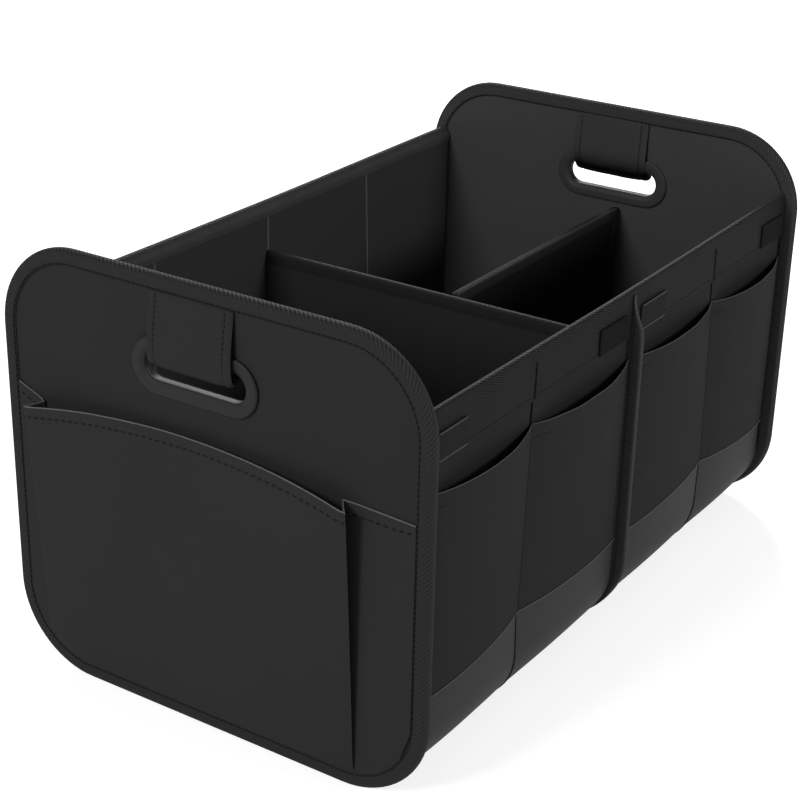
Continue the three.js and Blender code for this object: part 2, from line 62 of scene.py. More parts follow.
def add_camera():
    around, up = math.radians(CAMERA_AZIMUTH), math.radians(CAMERA_ELEVATION)
    back = Vector((math.sin(around) * math.cos(up), -math.cos(around) * math.cos(up), math.sin(up)))
    right = (-back).cross(Vector((0, 0, 1))).normalized()
    turn = Matrix.Rotation(math.radians(CAMERA_ROLL), 3, back)
    right = turn @ right
    axes = Matrix((right, back.cross(right), back)).transposed().to_4x4()
    data = bpy.data.cameras.new("photo_camera")
    data.sensor_width = CAMERA_FILM
    data.lens = CAMERA_LENS
    data.clip_end = 50
    camera = bpy.data.objects.new("photo_camera", data)
    camera.matrix_world = Matrix.Translation(CAMERA_PLACE) @ axes
    bpy.context.scene.collection.objects.link(camera)
    bpy.context.scene.camera = camera


add_camera()


# Sizes read from the frame, in millimetres

def box_of(node):
    low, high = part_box(node)
    return np.array(low) / MM, np.array(high) / MM


tape_low, tape_high = box_of("near_end_binding")
cover_low, cover_high = box_of("near_end_cover")
_, panel_lining_high = box_of("near_end_lining")
ring_low, ring_high = box_of("near_grommet_outer")
_, inner_ring_high = box_of("near_grommet_inner")
wrap_low, wrap_high = box_of("near_handle_wrap")
band_low, band_high = box_of("right_top_band")
cloth_low, _ = box_of("right_wall_cloth_near")
pocket_low, pocket_high = box_of("right_pocket_1")
second_pocket_low, second_pocket_high = box_of("right_pocket_2")
bottom_low, bottom_high = box_of("bottom_near")
lining_low, lining_high = box_of("lining_near")
seam_low, seam_high = box_of("middle_seam_binding")
middle_low, middle_high = box_of("middle_divider_cover")
middle_tape_low, middle_tape_high = box_of("middle_divider_binding")
long_low, long_high = box_of("long_divider_binding")
long_cover_low, long_cover_high = box_of("long_divider_cover")

PANEL_FACE = -tape_low[0]
PANEL_HALF = tape_high[1]
PANEL_TOP = tape_high[2]
PANEL_THICK = tape_high[0] - tape_low[0]
COVER_DEPTH = cover_low[0] - tape_low[0]
PANEL_INNER = panel_lining_high[0] - tape_low[0]
LAYER_INSET = tape_high[1] - cover_high[1]

# Sizes of the sewn work, as on the real thing

PANEL_CORNER = 70.0
TAPE_WIDTH = 12.0
TAPE_THICK = 1.2
TAPE_ROUND = 3.2
TAPE_SWELL = 0.35
CLOTH_THICK = 0.9
RING_FLANGE = 11.0
RING_NECK = 2.0
SEW_GAP = 0.3
RIM_DIP = 1.5
FOLD_LINE = 150.0
LOWER_BULGE = 6.0
LINING_THICK = 0.8
DIVIDER_CLOTH_THICK = 0.8

# Rows of stitches, each by its pitch, the length of a stitch and the radius of its thread

PLAIN_STITCH = (4.2, 3.0, 0.32)
# The edge stitches nearly touch, and so also paint a shade line along the tape's edge.
EDGE_STITCH = (4.4, 4.1, 0.44)
WRAP_STITCH = (4.0, 3.2, 0.42)
END_HEM_STITCH = (6.2, 4.1, 0.62)
WALL_HEM_STITCH = (3.6, 2.8, 0.36)
PATCH_STITCH = (3.2, 2.2, 0.28)
SEAM_STITCH = (4.4, 3.4, 0.34)

# Directions on the right wall, and up

OUTWARD = np.array([0.0, -1.0, 0.0])
INWARD = np.array([0.0, 1.0, 0.0])
UPWARD = np.array([0.0, 0.0, 1.0])

# Radii of the threads, of the light cords that paint highlights along edges, and of the dark cords that
# paint shade lines

MOUTH_EDGE_RADIUS = 0.62
SLOT_LIP_RADIUS = 0.4
WALL_MOUTH_RADIUS = 0.42
FOOT_HIGHLIGHT_RADIUS = 0.5
SHADE_LINE_RADIUS = 0.4
PATCH_EDGE_RADIUS = 0.45
SEAM_SHADE_RADIUS = 0.75
RIDGE_RADIUS = 0.9

# Widths of the waves in loose cloth

PANEL_WAVE = 70
WRAP_WAVE = 22
END_POCKET_WAVES = (55, 24)
BAND_WAVE = 45
WALL_WAVE = 60
WALL_POCKET_WAVES = (46, 20)
LINING_WAVES = (75, 28)
SLEEVE_WAVE = 65
SEAM_WAVE = 60

# The hand slot, the walls and the floor, from the frame and the sizes above

SLOT_MIDDLE = (ring_low[1] + ring_high[1]) / 2
SLOT_HALF = (ring_high[1] - ring_low[1]) / 2 - RING_FLANGE
SLOT_BOTTOM = ring_low[2] + RING_FLANGE
SLOT_TOP = ring_high[2] - RING_FLANGE
SLOT_RADIUS = (SLOT_TOP - SLOT_BOTTOM) / 2
SLOT_HEIGHT = (SLOT_TOP + SLOT_BOTTOM) / 2
WALL_FACE = -cloth_low[1]
WALL_TOP = band_high[2]
FLOOR_UNDER = bottom_low[2]
LOWER_BAND_TOP = bottom_high[2]
TROUGH_CORNER = 52.0
LINING_FACE = lining_high[1]
LINING_FLOOR = lining_low[2]
LINING_CORNER = LINING_FACE - (WALL_FACE - TROUGH_CORNER)
SEAMS = (cloth_low[0], -FOLD_LINE, 0.0, FOLD_LINE, -cloth_low[0])


# Shader sums

class Wire:
    """A node's output that takes part in sums. Each operator adds the Math node that works it out."""

    def __init__(self, finish, socket):
        self.finish = finish
        self.socket = socket

    def math(self, operation, first, second=0.0):
        return self.finish.node("ShaderNodeMath", {"operation": operation}, {0: first, 1: second})

    def __add__(self, other):
        return self.math("ADD", self, other)

    def __sub__(self, other):
        return self.math("SUBTRACT", self, other)

    def __rsub__(self, other):
        return self.math("SUBTRACT", other, self)

    def __mul__(self, other):
        return self.math("MULTIPLY", self, other)

    def sine(self):
        return self.math("SINE", self)

    def power(self, exponent):
        return self.math("POWER", self, exponent)

    def magnitude(self):
        return self.math("ABSOLUTE", self)

    def held(self):
        """The same, kept between 0 and 1."""
        return self.finish.node("ShaderNodeClamp", inputs={"Value": self})


class Finish:
    """A material, with its nodes made from sums."""

    def __init__(self, name):
        self.material = bpy.data.materials.new(name)
        self.material.use_nodes = True
        self.tree = self.material.node_tree
        self.tree.nodes.clear()

    def node(self, kind, settings=None, inputs=None, output=0):
        made = self.tree.nodes.new(kind)
        for key, value in (settings or {}).items():
            setattr(made, key, value)
        for key, value in (inputs or {}).items():
            if isinstance(value, Wire):
                self.tree.links.new(value.socket, made.inputs[key])
            else:
                made.inputs[key].default_value = value
        return Wire(self, made.outputs[output]) if made.outputs else None

    def cloth_place(self):
        """Distances along and across the cloth, in millimetres."""
        place = self.node("ShaderNodeUVMap", {"uv_map": "cloth"})
        along = self.node("ShaderNodeSeparateXYZ", inputs={0: place})
        return along, Wire(self, along.socket.node.outputs[1])

    def cloud(self, scale, detail=3.0, roughness=0.55):
        """Noise through the solid, about 0 to 1. scale is in blotches a metre."""
        place = self.node("ShaderNodeTexCoord", output="Object")
        return self.node(
            "ShaderNodeTexNoise",
            inputs={"Vector": place, "Scale": scale, "Detail": detail, "Roughness": roughness},
        )

    def blend(self, amount, first, second):
        """A colour between two others."""
        inputs = {"Factor": amount, 6: first, 7: second}
        return self.node("ShaderNodeMix", {"data_type": "RGBA"}, inputs, output=2)

    def surface(self, colour, roughness, height=None, relief=0.0, **constants):
        """The shader. height is a bump of relief metres, and constants go straight on its sockets."""
        inputs = {"Base Color": colour, "Roughness": roughness}
        if height is not None:
            bump = {"Strength": 1.0, "Distance": relief, "Height": height}
            inputs["Normal"] = self.node("ShaderNodeBump", inputs=bump)
        for key, value in constants.items():
            inputs[key.replace("_", " ")] = value
        shader = self.node("ShaderNodeBsdfPrincipled", inputs=inputs)
        self.node("ShaderNodeOutputMaterial", inputs={"Surface": shader})
        return self.material


def grey(level, warmth=0.0):
    return (level * (1 + warmth), level, level * (1 - warmth), 1.0)


# Finishes

CLOTH_SHINE = 0.03
TAPE_SHINE = 0.05
COATED_SHINE = 0.06
PLASTIC_SHINE = 0.1
WEAVE_RELIEF = 0.00006
COATED_RELIEF = 0.00004
PLASTIC_RELIEF = 0.00005
PILE_RELIEF = 0.0004
RIB_RELIEF = 0.0004
COATED_PITCH = 0.8
FINE_RIB_PITCH = 0.9


def weave_of(along, across, pitch):
    """Threads over and under each other, from 0 to 1."""
    turn = 2 * math.pi / pitch
    return (along * turn).sine() * (across * turn).sine() * 0.5 + 0.5


def woven_cloth(name, level, pitch=1.1, inside=None, shade_strip=None):
    """Plain woven polyester, with fine threads and a little unevenness in its dye.

    inside is the level beyond the middle of a folded piece; that lighter inner half is painted light.
    shade_strip is the place of a strip of painted shade across it, and how far that reaches.
    """
    finish = Finish(name)
    along, across = finish.cloth_place()
    weave = weave_of(along, across, pitch)
    fibres = finish.cloud(2600, 2.0)
    blotches = finish.cloud(9, 4.0)
    shade = weave * 0.25 + fibres * 0.35 + blotches * 0.4
    colour = finish.blend(shade, grey(level * 0.78), grey(level * 1.22))
    if inside:
        # The inner half is lighter: painted light.
        colour = finish.blend((across * 0.25).held(), colour, grey(inside))
    # A darker strip: painted shade where the piece turns under.
    if shade_strip:
        place, reach = shade_strip
        strip_shade = (1.1 - (across - place).magnitude() * (1 / reach)).held()
        colour = finish.blend(strip_shade.power(1.4), colour, grey(level * 0.04))
    roughness = blotches * 0.1 + 0.77
    height = weave * 0.7 + fibres * 0.5
    return finish.surface(colour, roughness, height, WEAVE_RELIEF, Specular_IOR_Level=CLOTH_SHINE)


def ribbed_tape(name, level, pitch, slant=1.0, crest_highlight=1.8, wander=1.6, fold=None, ribs=None, inside=1.0):
    """Twill tape with slanting ribs.

    crest_highlight is how light a rib's crest is, a painted highlight on the ribs, and wander is how far the
    ribs stray.
    fold is the place of its fold across it, how far the lighter band at the fold reaches, and how light that
    is; that band is a painted highlight.
    ribs is how far from the fold the lighter crests reach, and inside is how light the tape is beyond the
    fold, as painted light on its inner leg.
    """
    finish = Finish(name)
    along, across = finish.cloth_place()
    stray = finish.cloud(60, 2.0) * wander
    rib = ((along + across * slant + stray) * (2 * math.pi / pitch)).sine() * 0.5 + 0.5
    thread = ((along - across * 0.6) * (2 * math.pi / FINE_RIB_PITCH)).sine() * 0.5 + 0.5
    fibres = finish.cloud(1800, 2.0)
    crest = rib.power(2.2)
    height = rib
    if ribs:
        from_fold = (across - fold[0]).magnitude()
        kept = (1.15 - from_fold * (1 / ribs)).held() * (finish.cloud(24, 3.0) * 4.0 - 1.1).held()
        crest = crest * kept + (1 - kept) * 0.3
        height = rib * kept
    # Lighter rib crests: painted highlight.
    colour = finish.blend(crest * 0.7 + fibres * 0.3, grey(level * 0.6), grey(level * crest_highlight))
    if fold:
        place, reach, gain = fold
        beyond = ((across - place) * (1 / reach)).held()
        # Lighter beyond the fold: painted light on the inner leg.
        colour = finish.blend(beyond, colour, grey(level * inside * 1.1))
        # A lighter band along the fold: painted highlight.
        fold_highlight = (1 - (across - place).magnitude() * (1 / reach)).held().power(1.5)
        colour = finish.blend(fold_highlight * (crest * 0.8 + 0.2), colour, grey(level * gain))
    height = height + thread * 0.12 + fibres * 0.15
    return finish.surface(colour, 0.72 - crest * 0.12, height, RIB_RELIEF, Specular_IOR_Level=TAPE_SHINE)


def coated_cloth(name, level):
    """The smoother coated cloth of the bottom."""
    finish = Finish(name)
    weave = weave_of(*finish.cloth_place(), COATED_PITCH)
    blotches = finish.cloud(7, 4.0)
    colour = finish.blend(blotches * 0.7 + weave * 0.3, grey(level * 0.85), grey(level * 1.15))
    roughness = blotches * 0.12 + 0.56
    height = weave + blotches * 2.0
    return finish.surface(colour, roughness, height, COATED_RELIEF, Specular_IOR_Level=COATED_SHINE)


def grained_plastic(name, level):
    """Moulded plastic with a fine grain."""
    finish = Finish(name)
    grain = finish.cloud(1500, 3.0, 0.6)
    blotches = finish.cloud(30, 3.0)
    colour = finish.blend(blotches, grey(level * 0.85), grey(level * 1.15))
    roughness = grain * 0.15 + 0.5
    return finish.surface(colour, roughness, grain, PLASTIC_RELIEF, Specular_IOR_Level=PLASTIC_SHINE)


def loop_pile(name, level):
    """The pile of a hook-and-loop patch."""
    finish = Finish(name)
    pile = finish.cloud(900, 4.0, 0.75)
    tufts = finish.cloud(350, 3.0)
    colour = finish.blend(pile * 0.6 + tufts * 0.4, grey(level * 0.5), grey(level * 1.8))
    return finish.surface(colour, 0.95, pile + tufts, PILE_RELIEF, Specular_IOR_Level=CLOTH_SHINE)


def plain_thread(name, level):
    """Twisted sewing thread. The same finish, at other levels, gives the light cords of painted highlights
    and the near-black sheets of painted shade.
    """
    finish = Finish(name)
    twist = finish.cloud(4000, 1.0)
    colour = finish.blend(twist, grey(level * 0.7), grey(level * 1.4))
    return finish.surface(colour, 0.7, twist, PLASTIC_RELIEF, Specular_IOR_Level=PLASTIC_SHINE)


def plain_board(name, level):
    """Grey fibre board, which shows only at raw edges."""
    finish = Finish(name)
    fibre = finish.cloud(400, 5.0, 0.7)
    colour = finish.blend(fibre, grey(level * 0.8, 0.06), grey(level * 1.2, 0.06))
    return finish.surface(colour, 0.85, fibre, 0.0001)


PANEL_CLOTH = woven_cloth("panel_cloth", 0.0146)
# Lighter than the outer cloth: painted light, so the inside, which gets less light, reads as bright as the
# outside.
PANEL_LINING = woven_cloth("panel_lining_cloth", 0.034)
# The wrap is lighter on its inner half, as painted light, and darker where it turns under the slot, as
# painted shade.
WRAP_CLOTH = woven_cloth("wrap_cloth", 0.0155, inside=0.027, shade_strip=(9.0, 15.0))
END_POCKET_CLOTH = woven_cloth("end_pocket_cloth", 0.0160)
POCKET_CLOTH = woven_cloth("pocket_cloth", 0.0127)
# Darker than the panel cloth: painted shade from the pockets over the wall above their mouths.
WALL_CLOTH = woven_cloth("wall_cloth", 0.0120)
# Lighter than the outer cloth: painted light on the inside of the box.
LINING_CLOTH = woven_cloth("lining_cloth", 0.020, pitch=1.0)
DIVIDER_CLOTH = woven_cloth("divider_cloth", 0.0135, pitch=1.0)
# Much darker than the other divider cloth: painted shade from the right wall over the long divider.
LONG_DIVIDER_CLOTH = woven_cloth("long_divider_cloth", 0.0055, pitch=1.0)
LOWER_CLOTH = coated_cloth("lower_cloth", 0.020)
# The light crests and fold lines of these tapes are painted highlights, and their light inner legs painted
# light.
EDGE_TAPE = ribbed_tape(
    "edge_tape", 0.0082, 3.7, crest_highlight=3.2, wander=2.4, fold=(19.5, 3.6, 3.6), ribs=15.0, inside=2.8
)
BAND_TAPE = ribbed_tape(
    "band_tape", 0.0042, 4.7, slant=2.7, crest_highlight=3.4, wander=4.0, fold=(40.0, 1.5, 12.0), ribs=28.0, inside=6.0
)
# Much lighter than the other tapes: painted light on the middle seam, whose sides stand in shade.
SEAM_TAPE = ribbed_tape("seam_tape", 0.0330, 2.0, crest_highlight=1.4)
DIVIDER_TAPE = ribbed_tape("divider_tape", 0.013, 1.8, crest_highlight=1.4, fold=(12.5, 1.6, 5.0))
SLOT_PLASTIC = grained_plastic("slot_plastic", 0.0125)
INNER_PLASTIC = grained_plastic("inner_slot_plastic", 0.022)
FASTENER = loop_pile("fastener_pile", 0.0056)
HOOK_FASTENER = loop_pile("fastener_hooks", 0.0100)
# Dark thread for stitches, and for unbroken dark cords that paint shade lines in seams and along the
# pockets.
THREAD_AND_SHADE_CORDS = plain_thread("sewing_thread_and_painted_shade", 0.0022)
# A near-black sheet that paints the shade under the wrap's edges.
SHADE_SHEET_FINISH = plain_thread("painted_shade_sheet", 0.0012)
# Light cords and ridges along edges: a painted highlight where the edges catch light.
PAINTED_HIGHLIGHT = plain_thread("painted_edge_highlight", 0.065)
# Light cords at pocket mouths, pocket feet and patch edges: painted highlights along edges that catch light.
HEM_HIGHLIGHT = plain_thread("painted_hem_highlight", 0.045)
STIFF_BOARD = plain_board("stiff_board", 0.14)


# Mesh building

SHARP_ANGLE = 50


def smooth_step(value):
    value = np.clip(value, 0, 1)
    return value * value * (3 - 2 * value)


def hump(distance, width):
    """1 at no distance, and next to nothing beyond two widths."""
    return np.exp(-((distance / width) ** 2))


def unit(vectors):
    return vectors / np.maximum(np.linalg.norm(vectors, axis=-1, keepdims=True), 1e-9)


def ripple(points, size, seed):
    """Smooth noise from -1 to 1 at each point. size is the width of a wave."""
    flat = points.reshape(-1, 3) / size + np.array([seed * 17.3, seed * 5.1, seed * 9.7])
    values = [noise.noise(Vector(p)) for p in flat]
    return np.array(values).reshape(points.shape[:-1])


def stack(*parts):
    return np.stack(np.broadcast_arrays(*parts), axis=-1)


def normals_of(points, around=False):
    if around:
        along = np.roll(points, -1, axis=0) - np.roll(points, 1, axis=0)
    else:
        along = np.gradient(points, axis=0)
    return unit(np.cross(along, np.gradient(points, axis=1)))


def lengths_along(points, axis):
    """Distance along one direction of a grid, measured on its middle line."""
    other = points.shape[1 - axis] // 2
    line = points[:, other] if axis == 0 else points[other]
    steps = np.linalg.norm(np.diff(line, axis=0), axis=1)
    return np.concatenate([[0.0], np.cumsum(steps)])


def run_of(points, around=False):
    """Cloth coordinates of a grid."""
    along = lengths_along(points, 0)
    if around:
        along = np.append(along, along[-1] + np.linalg.norm(points[0, 0] - points[-1, 0]))
    across = lengths_along(points, 1)
    return stack(along[:, None], across[None, :])


class Skin:
    """Gathers grids of points into one closed mesh, with cloth coordinates for its finish."""

    def __init__(self):
        self.points = []
        self.faces = []
        self.runs = []
        self.count = 0

    def add_points(self, points):
        start = self.count
        self.points.append(points.reshape(-1, 3))
        self.count += len(self.points[-1])
        return start

    def add_faces(self, corners, runs):
        self.faces.extend(corners.tolist())
        self.runs.append(runs.reshape(-1, 2))

    def grid(self, points, run, around=False, closed=False):
        """A grid of quads. around joins the last column to the first, and closed the last row."""
        columns, rows = points.shape[:2]
        start = self.add_points(points)
        i, j = np.meshgrid(np.arange(columns - 1 + around), np.arange(rows - 1 + closed), indexing="ij")
        i, j = i.ravel(), j.ravel()
        steps = ((0, 0), (1, 0), (1, 1), (0, 1))
        corners = [start + (i + di) % columns * rows + (j + dj) % rows for di, dj in steps]
        runs = [run[i + di, j + dj] for di, dj in steps]
        self.add_faces(np.stack(corners, axis=1), np.stack(runs, axis=1))
        return start

    def shell(self, points, run):
        """Rings of points, with a face over the first ring and over the last."""
        start = self.grid(points, run, around=True)
        count, rows = points.shape[:2]
        for row, order in ((0, -1), (rows - 1, 1)):
            self.faces.append((start + np.arange(count)[::order] * rows + row).tolist())
            self.runs.append(run[:count, row][::order])

    def tube(self, points, run=None):
        """A closed section carried along a line, with a face over each end."""
        columns, sides = points.shape[:2]
        if run is None:
            run = np.zeros((columns, sides + 1, 2))
        start = self.grid(points, run, closed=True)
        for column, order in ((0, -1), (columns - 1, 1)):
            self.faces.append((start + column * sides + np.arange(sides)[::order]).tolist())
            self.runs.append(run[column, :sides][::order])

    def rim(self, front, back, front_start, back_start, run, loop):
        """Closes the edge between two grids along a loop of columns and rows, with a rounded lip."""
        columns, rows = front.shape[:2]
        i, j = np.array(loop).T
        here = (front[i % columns, j] + back[i % columns, j]) / 2
        inward_i = np.clip(i, 1, columns - 2) if (i == 0).any() and (i < columns).all() else i
        inward_j = np.clip(j, 1, rows - 2)
        inside = (front[inward_i % columns, inward_j] + back[inward_i % columns, inward_j]) / 2
        outward = unit(here - inside)
        thick = np.linalg.norm(front[i % columns, j] - back[i % columns, j], axis=1, keepdims=True)
        lip_start = self.add_points(here + outward * thick * 0.35)
        count = len(loop)
        lip = lip_start + np.arange(count)
        fronts = front_start + (i % columns) * rows + j
        backs = back_start + (i % columns) * rows + j
        nexts = (np.arange(count) + 1) % count
        runs = run[i, j]
        quad_runs = np.stack([runs, runs[nexts], runs[nexts], runs], axis=1)
        self.add_faces(np.stack([fronts, fronts[nexts], lip[nexts], lip], axis=1), quad_runs)
        self.add_faces(np.stack([lip, lip[nexts], backs[nexts], backs], axis=1), quad_runs)

    def sheet(self, front, back, run, around=False):
        """Two faces of a cloth, closed round their edges."""
        columns, rows = front.shape[:2]
        front_start = self.grid(front, run, around)
        back_start = self.grid(back, run, around)
        if around:
            for row in (0, rows - 1):
                self.rim(front, back, front_start, back_start, run, [(i, row) for i in range(columns)])
            return
        loop = [(i, 0) for i in range(columns - 1)]
        loop += [(columns - 1, j) for j in range(rows - 1)]
        loop += [(i, rows - 1) for i in range(columns - 1, 0, -1)]
        loop += [(0, j) for j in range(rows - 1, 0, -1)]
        self.rim(front, back, front_start, back_start, run, loop)

    def cloth(self, middle, thick, around=False):
        """A cloth of even thickness, from the surface in its middle."""
        normal = normals_of(middle, around)
        self.sheet(middle + normal * thick / 2, middle - normal * thick / 2, run_of(middle, around), around)

    def build(self, name, material, slot, *nodes):
        """Makes the piece, which rides on the frame and takes the place of its nodes."""
        mesh = bpy.data.meshes.new(name)
        points = np.concatenate(self.points) * MM
        mesh.from_pydata(points.tolist(), [], self.faces)
        layer = mesh.uv_layers.new(name="cloth")
        layer.data.foreach_set("uv", np.concatenate(self.runs).ravel())
        work = bmesh.new()
        work.from_mesh(mesh)
        bmesh.ops.recalc_face_normals(work, faces=work.faces)
        work.to_mesh(mesh)
        work.free()
        mesh.polygons.foreach_set("use_smooth", [True] * len(mesh.polygons))
        mesh.set_sharp_from_angle(angle=math.radians(SHARP_ANGLE))
        mesh.materials.append(material)
        piece = bpy.data.objects.new(name, mesh)
        bpy.context.scene.collection.objects.link(piece)
        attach(piece, "root")
        if nodes:
            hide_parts(*nodes)
        return piece


def turned(points):
    """The same points on the far end or the left wall."""
    return points * np.array([-1, -1, 1])


def soft_ring(corners, cut, steps=3):
    """A closed section with its corners rounded."""
    ends = (np.array(corners[0]) + np.array(corners[-1])) / 2
    corners = [np.array(c, dtype=float) for c in [ends, *corners, ends]]
    line = [corners[0]]
    for before, here, after in zip(corners, corners[1:-1], corners[2:]):
        back, on = before - here, after - here
        reach_back = min(cut, np.linalg.norm(back) * 0.45)
        reach_on = min(cut, np.linalg.norm(on) * 0.45)
        start = here + unit(back) * reach_back
        end = here + unit(on) * reach_on
        for share in np.arange(steps + 1) / steps:
            line.append((1 - share) ** 2 * start + 2 * share * (1 - share) * here + share**2 * end)
    return np.array(line)


def steps_between(first, last, count, skip_first=False):
    """Even steps from one point to another. They leave out the last point, or the first one."""
    first, last = np.array(first, dtype=float), np.array(last, dtype=float)
    share = (np.arange(count) + skip_first) / count
    return first + (last - first) * share[:, None]


def divided(line, spacing):
    """Adds points to a line so that no step is much longer than the spacing."""
    result = [line[:1]]
    for start, end in zip(line, line[1:]):
        count = max(1, math.ceil(np.linalg.norm(end - start) / spacing))
        result.append(steps_between(start, end, count, skip_first=True))
    return np.concatenate(result)


class Loop:
    """Points round a rectangle with round corners, the directions out of it, and the length so far."""

    def __init__(self, low, high, bottom, top, radius, spacing):
        self.middle = np.array([(low + high) / 2, (bottom + top) / 2])
        self.half = np.array([(high - low) / 2, (top - bottom) / 2])
        self.reach = radius * 0.85
        corners = [
            (high - radius, bottom + radius, -90),
            (high - radius, top - radius, 0),
            (low + radius, top - radius, 90),
            (low + radius, bottom + radius, 180),
        ]
        places, outs = [], []
        for index, (u, v, start) in enumerate(corners):
            steps = max(6, round(radius * math.pi / 2 / spacing))
            for k in range(steps):
                angle = math.radians(start + 90 * k / steps)
                outs.append((math.cos(angle), math.sin(angle)))
                places.append((u + radius * outs[-1][0], v + radius * outs[-1][1]))
            angle = math.radians(start + 90)
            out = np.array([math.cos(angle), math.sin(angle)])
            here = np.array([u, v]) + radius * out
            there = np.array(corners[(index + 1) % 4][:2]) + radius * out
            length = np.linalg.norm(there - here)
            steps = round(length / spacing) if length > 0.01 else 0
            for k in range(steps):
                places.append(tuple(here + (there - here) * k / steps))
                outs.append(tuple(out))
        self.place = np.array(places)
        self.out = np.array(outs)

    def line(self, out):
        """The outline moved out by a distance, or in when it is negative, without crossing itself."""
        if out >= -self.reach:
            return self.place + self.out * out
        inside = self.place - self.out * self.reach
        share = (self.half + out) / (self.half - self.reach)
        return self.middle + (inside - self.middle) * share


def carried(loop, section, place):
    """A section carried round a loop. place makes points from across, height and depth."""
    section = np.array(section)
    lines = np.stack([loop.line(out) for out in section[:, 0]], axis=1)
    return place(lines[..., 0], lines[..., 1], section[None, :, 1])


def ring_skin(loop, section, place):
    """A closed section carried round a loop."""
    points = carried(loop, section, place)
    closed = np.concatenate([points, points[:, :1]], axis=1)
    skin = Skin()
    skin.grid(points, run_of(closed, around=True), around=True, closed=True)
    return skin


def cloth_piece(points, thick, name, material, slot, *nodes):
    """A piece of one cloth, from the surface in its middle."""
    skin = Skin()
    skin.cloth(points, thick)
    return skin.build(name, material, slot, *nodes)


def end_place(across, height, depth):
    """A point of the near end panel, from its outer face inwards."""
    return stack(depth - PANEL_FACE, across, height)


# Stitches

THREAD_SIDES = 5
CORD_SIDES = 6

# One stitch at five places along it: the place, how wide the thread is, and how high it lies
THREAD_SHAPE = np.array([
    [0.0, 0.15, -0.9],
    [0.14, 0.8, 0.1],
    [0.5, 1.0, 0.45],
    [0.86, 0.8, 0.1],
    [1.0, 0.15, -0.9],
])


def stitches(skin, line, normal, kind=PLAIN_STITCH):
    """A row of short threads that lie along a line and dip into the cloth at their ends."""
    pitch, length, radius = kind
    line = np.asarray(line, dtype=float)
    normal = np.broadcast_to(np.asarray(normal, dtype=float), line.shape)
    steps = np.linalg.norm(np.diff(line, axis=0), axis=1)
    run = np.concatenate([[0.0], np.cumsum(steps)])
    count = int(run[-1] // pitch)
    if count < 1:
        return
    starts = (run[-1] - count * pitch) / 2 + np.arange(count) * pitch + (pitch - length) / 2
    stations, widths, lifts = THREAD_SHAPE.T
    at = starts[:, None] + stations[None, :] * length
    spine = np.stack([np.interp(at, run, line[:, k]) for k in range(3)], axis=-1)
    up = unit(np.stack([np.interp(at, run, normal[:, k]) for k in range(3)], axis=-1))
    along = unit(spine[:, -1:] - spine[:, :1])
    side = np.cross(np.broadcast_to(along, up.shape), up)
    spine = spine + up * (lifts * radius)[None, :, None]
    angles = 2 * math.pi * np.arange(THREAD_SIDES) / THREAD_SIDES
    ring = side[:, :, None] * np.cos(angles)[None, None, :, None]
    ring = ring + up[:, :, None] * np.sin(angles)[None, None, :, None]
    for thread in spine[:, :, None] + ring * (widths * radius)[None, :, None, None]:
        skin.tube(thread)


def cord(skin, line, normal, radius):
    """One unbroken thread that lies along a line."""
    line = np.asarray(line, dtype=float)
    normal = np.broadcast_to(np.asarray(normal, dtype=float), line.shape)
    side = np.cross(unit(np.gradient(line, axis=0)), normal)
    angles = 2 * math.pi * np.arange(CORD_SIDES) / CORD_SIDES
    ring = side[:, None] * np.cos(angles)[None, :, None] + normal[:, None] * np.sin(angles)[None, :, None]
    skin.tube(line[:, None] + ring * radius)


# End panels

PANEL_STEP = 6.0
SLOT_STEP = 2.5
PANEL_LOOP = Loop(-PANEL_HALF, PANEL_HALF, 0, PANEL_TOP, PANEL_CORNER, PANEL_STEP)
SLOT_LOOP = Loop(
    SLOT_MIDDLE - SLOT_HALF, SLOT_MIDDLE + SLOT_HALF, SLOT_BOTTOM, SLOT_TOP, SLOT_RADIUS, SLOT_STEP
)


def slot_edge(angle, radius):
    """The point of the slot's outline, at that much radius, in a direction from the slot's middle."""
    straight = SLOT_HALF - SLOT_RADIUS
    cosine, sine = np.cos(angle), np.sin(angle)
    flat = radius / np.maximum(np.abs(sine), 1e-9)
    reach = straight * np.abs(cosine) + np.sqrt(np.maximum(radius**2 - (straight * sine) ** 2, 0))
    length = np.where(np.abs(cosine) * flat <= straight, flat, reach)
    return np.stack([SLOT_MIDDLE + length * cosine, SLOT_HEIGHT + length * sine], axis=1)


EDGE_REACH = 24
SLOT_FLAT = 8
SLOT_REACH = 18


def panel_field(depth, swell, seed):
    """One cloth of the panel, from the edge of the slot out to under the tape."""
    outer = PANEL_LOOP.line(-LAYER_INSET)
    offset = outer - np.array([SLOT_MIDDLE, SLOT_HEIGHT])
    inner = slot_edge(np.arctan2(offset[:, 1], offset[:, 0]), SLOT_RADIUS + RING_NECK + SEW_GAP)
    share = np.linspace(0, 1, 30) ** 1.2
    field = inner[:, None] + (outer - inner)[:, None] * share[None, :, None]
    reach = np.linalg.norm(outer - inner, axis=1)[:, None]
    from_edge = reach * (1 - share[None, :])
    from_slot = reach * share[None, :]
    rise = smooth_step((from_edge - TAPE_WIDTH) / EDGE_REACH)
    rise = rise * smooth_step((from_slot - SLOT_FLAT) / SLOT_REACH)
    middle = end_place(field[..., 0], field[..., 1], depth)
    middle[..., 0] += swell * rise * (0.75 + ripple(middle, PANEL_WAVE, seed) * 0.35)
    run = stack(field[..., 0], field[..., 1])
    half = np.array([CLOTH_THICK / 2, 0, 0])
    skin = Skin()
    skin.sheet(middle - half, middle + half, np.concatenate([run, run[:1]]), around=True)
    return skin


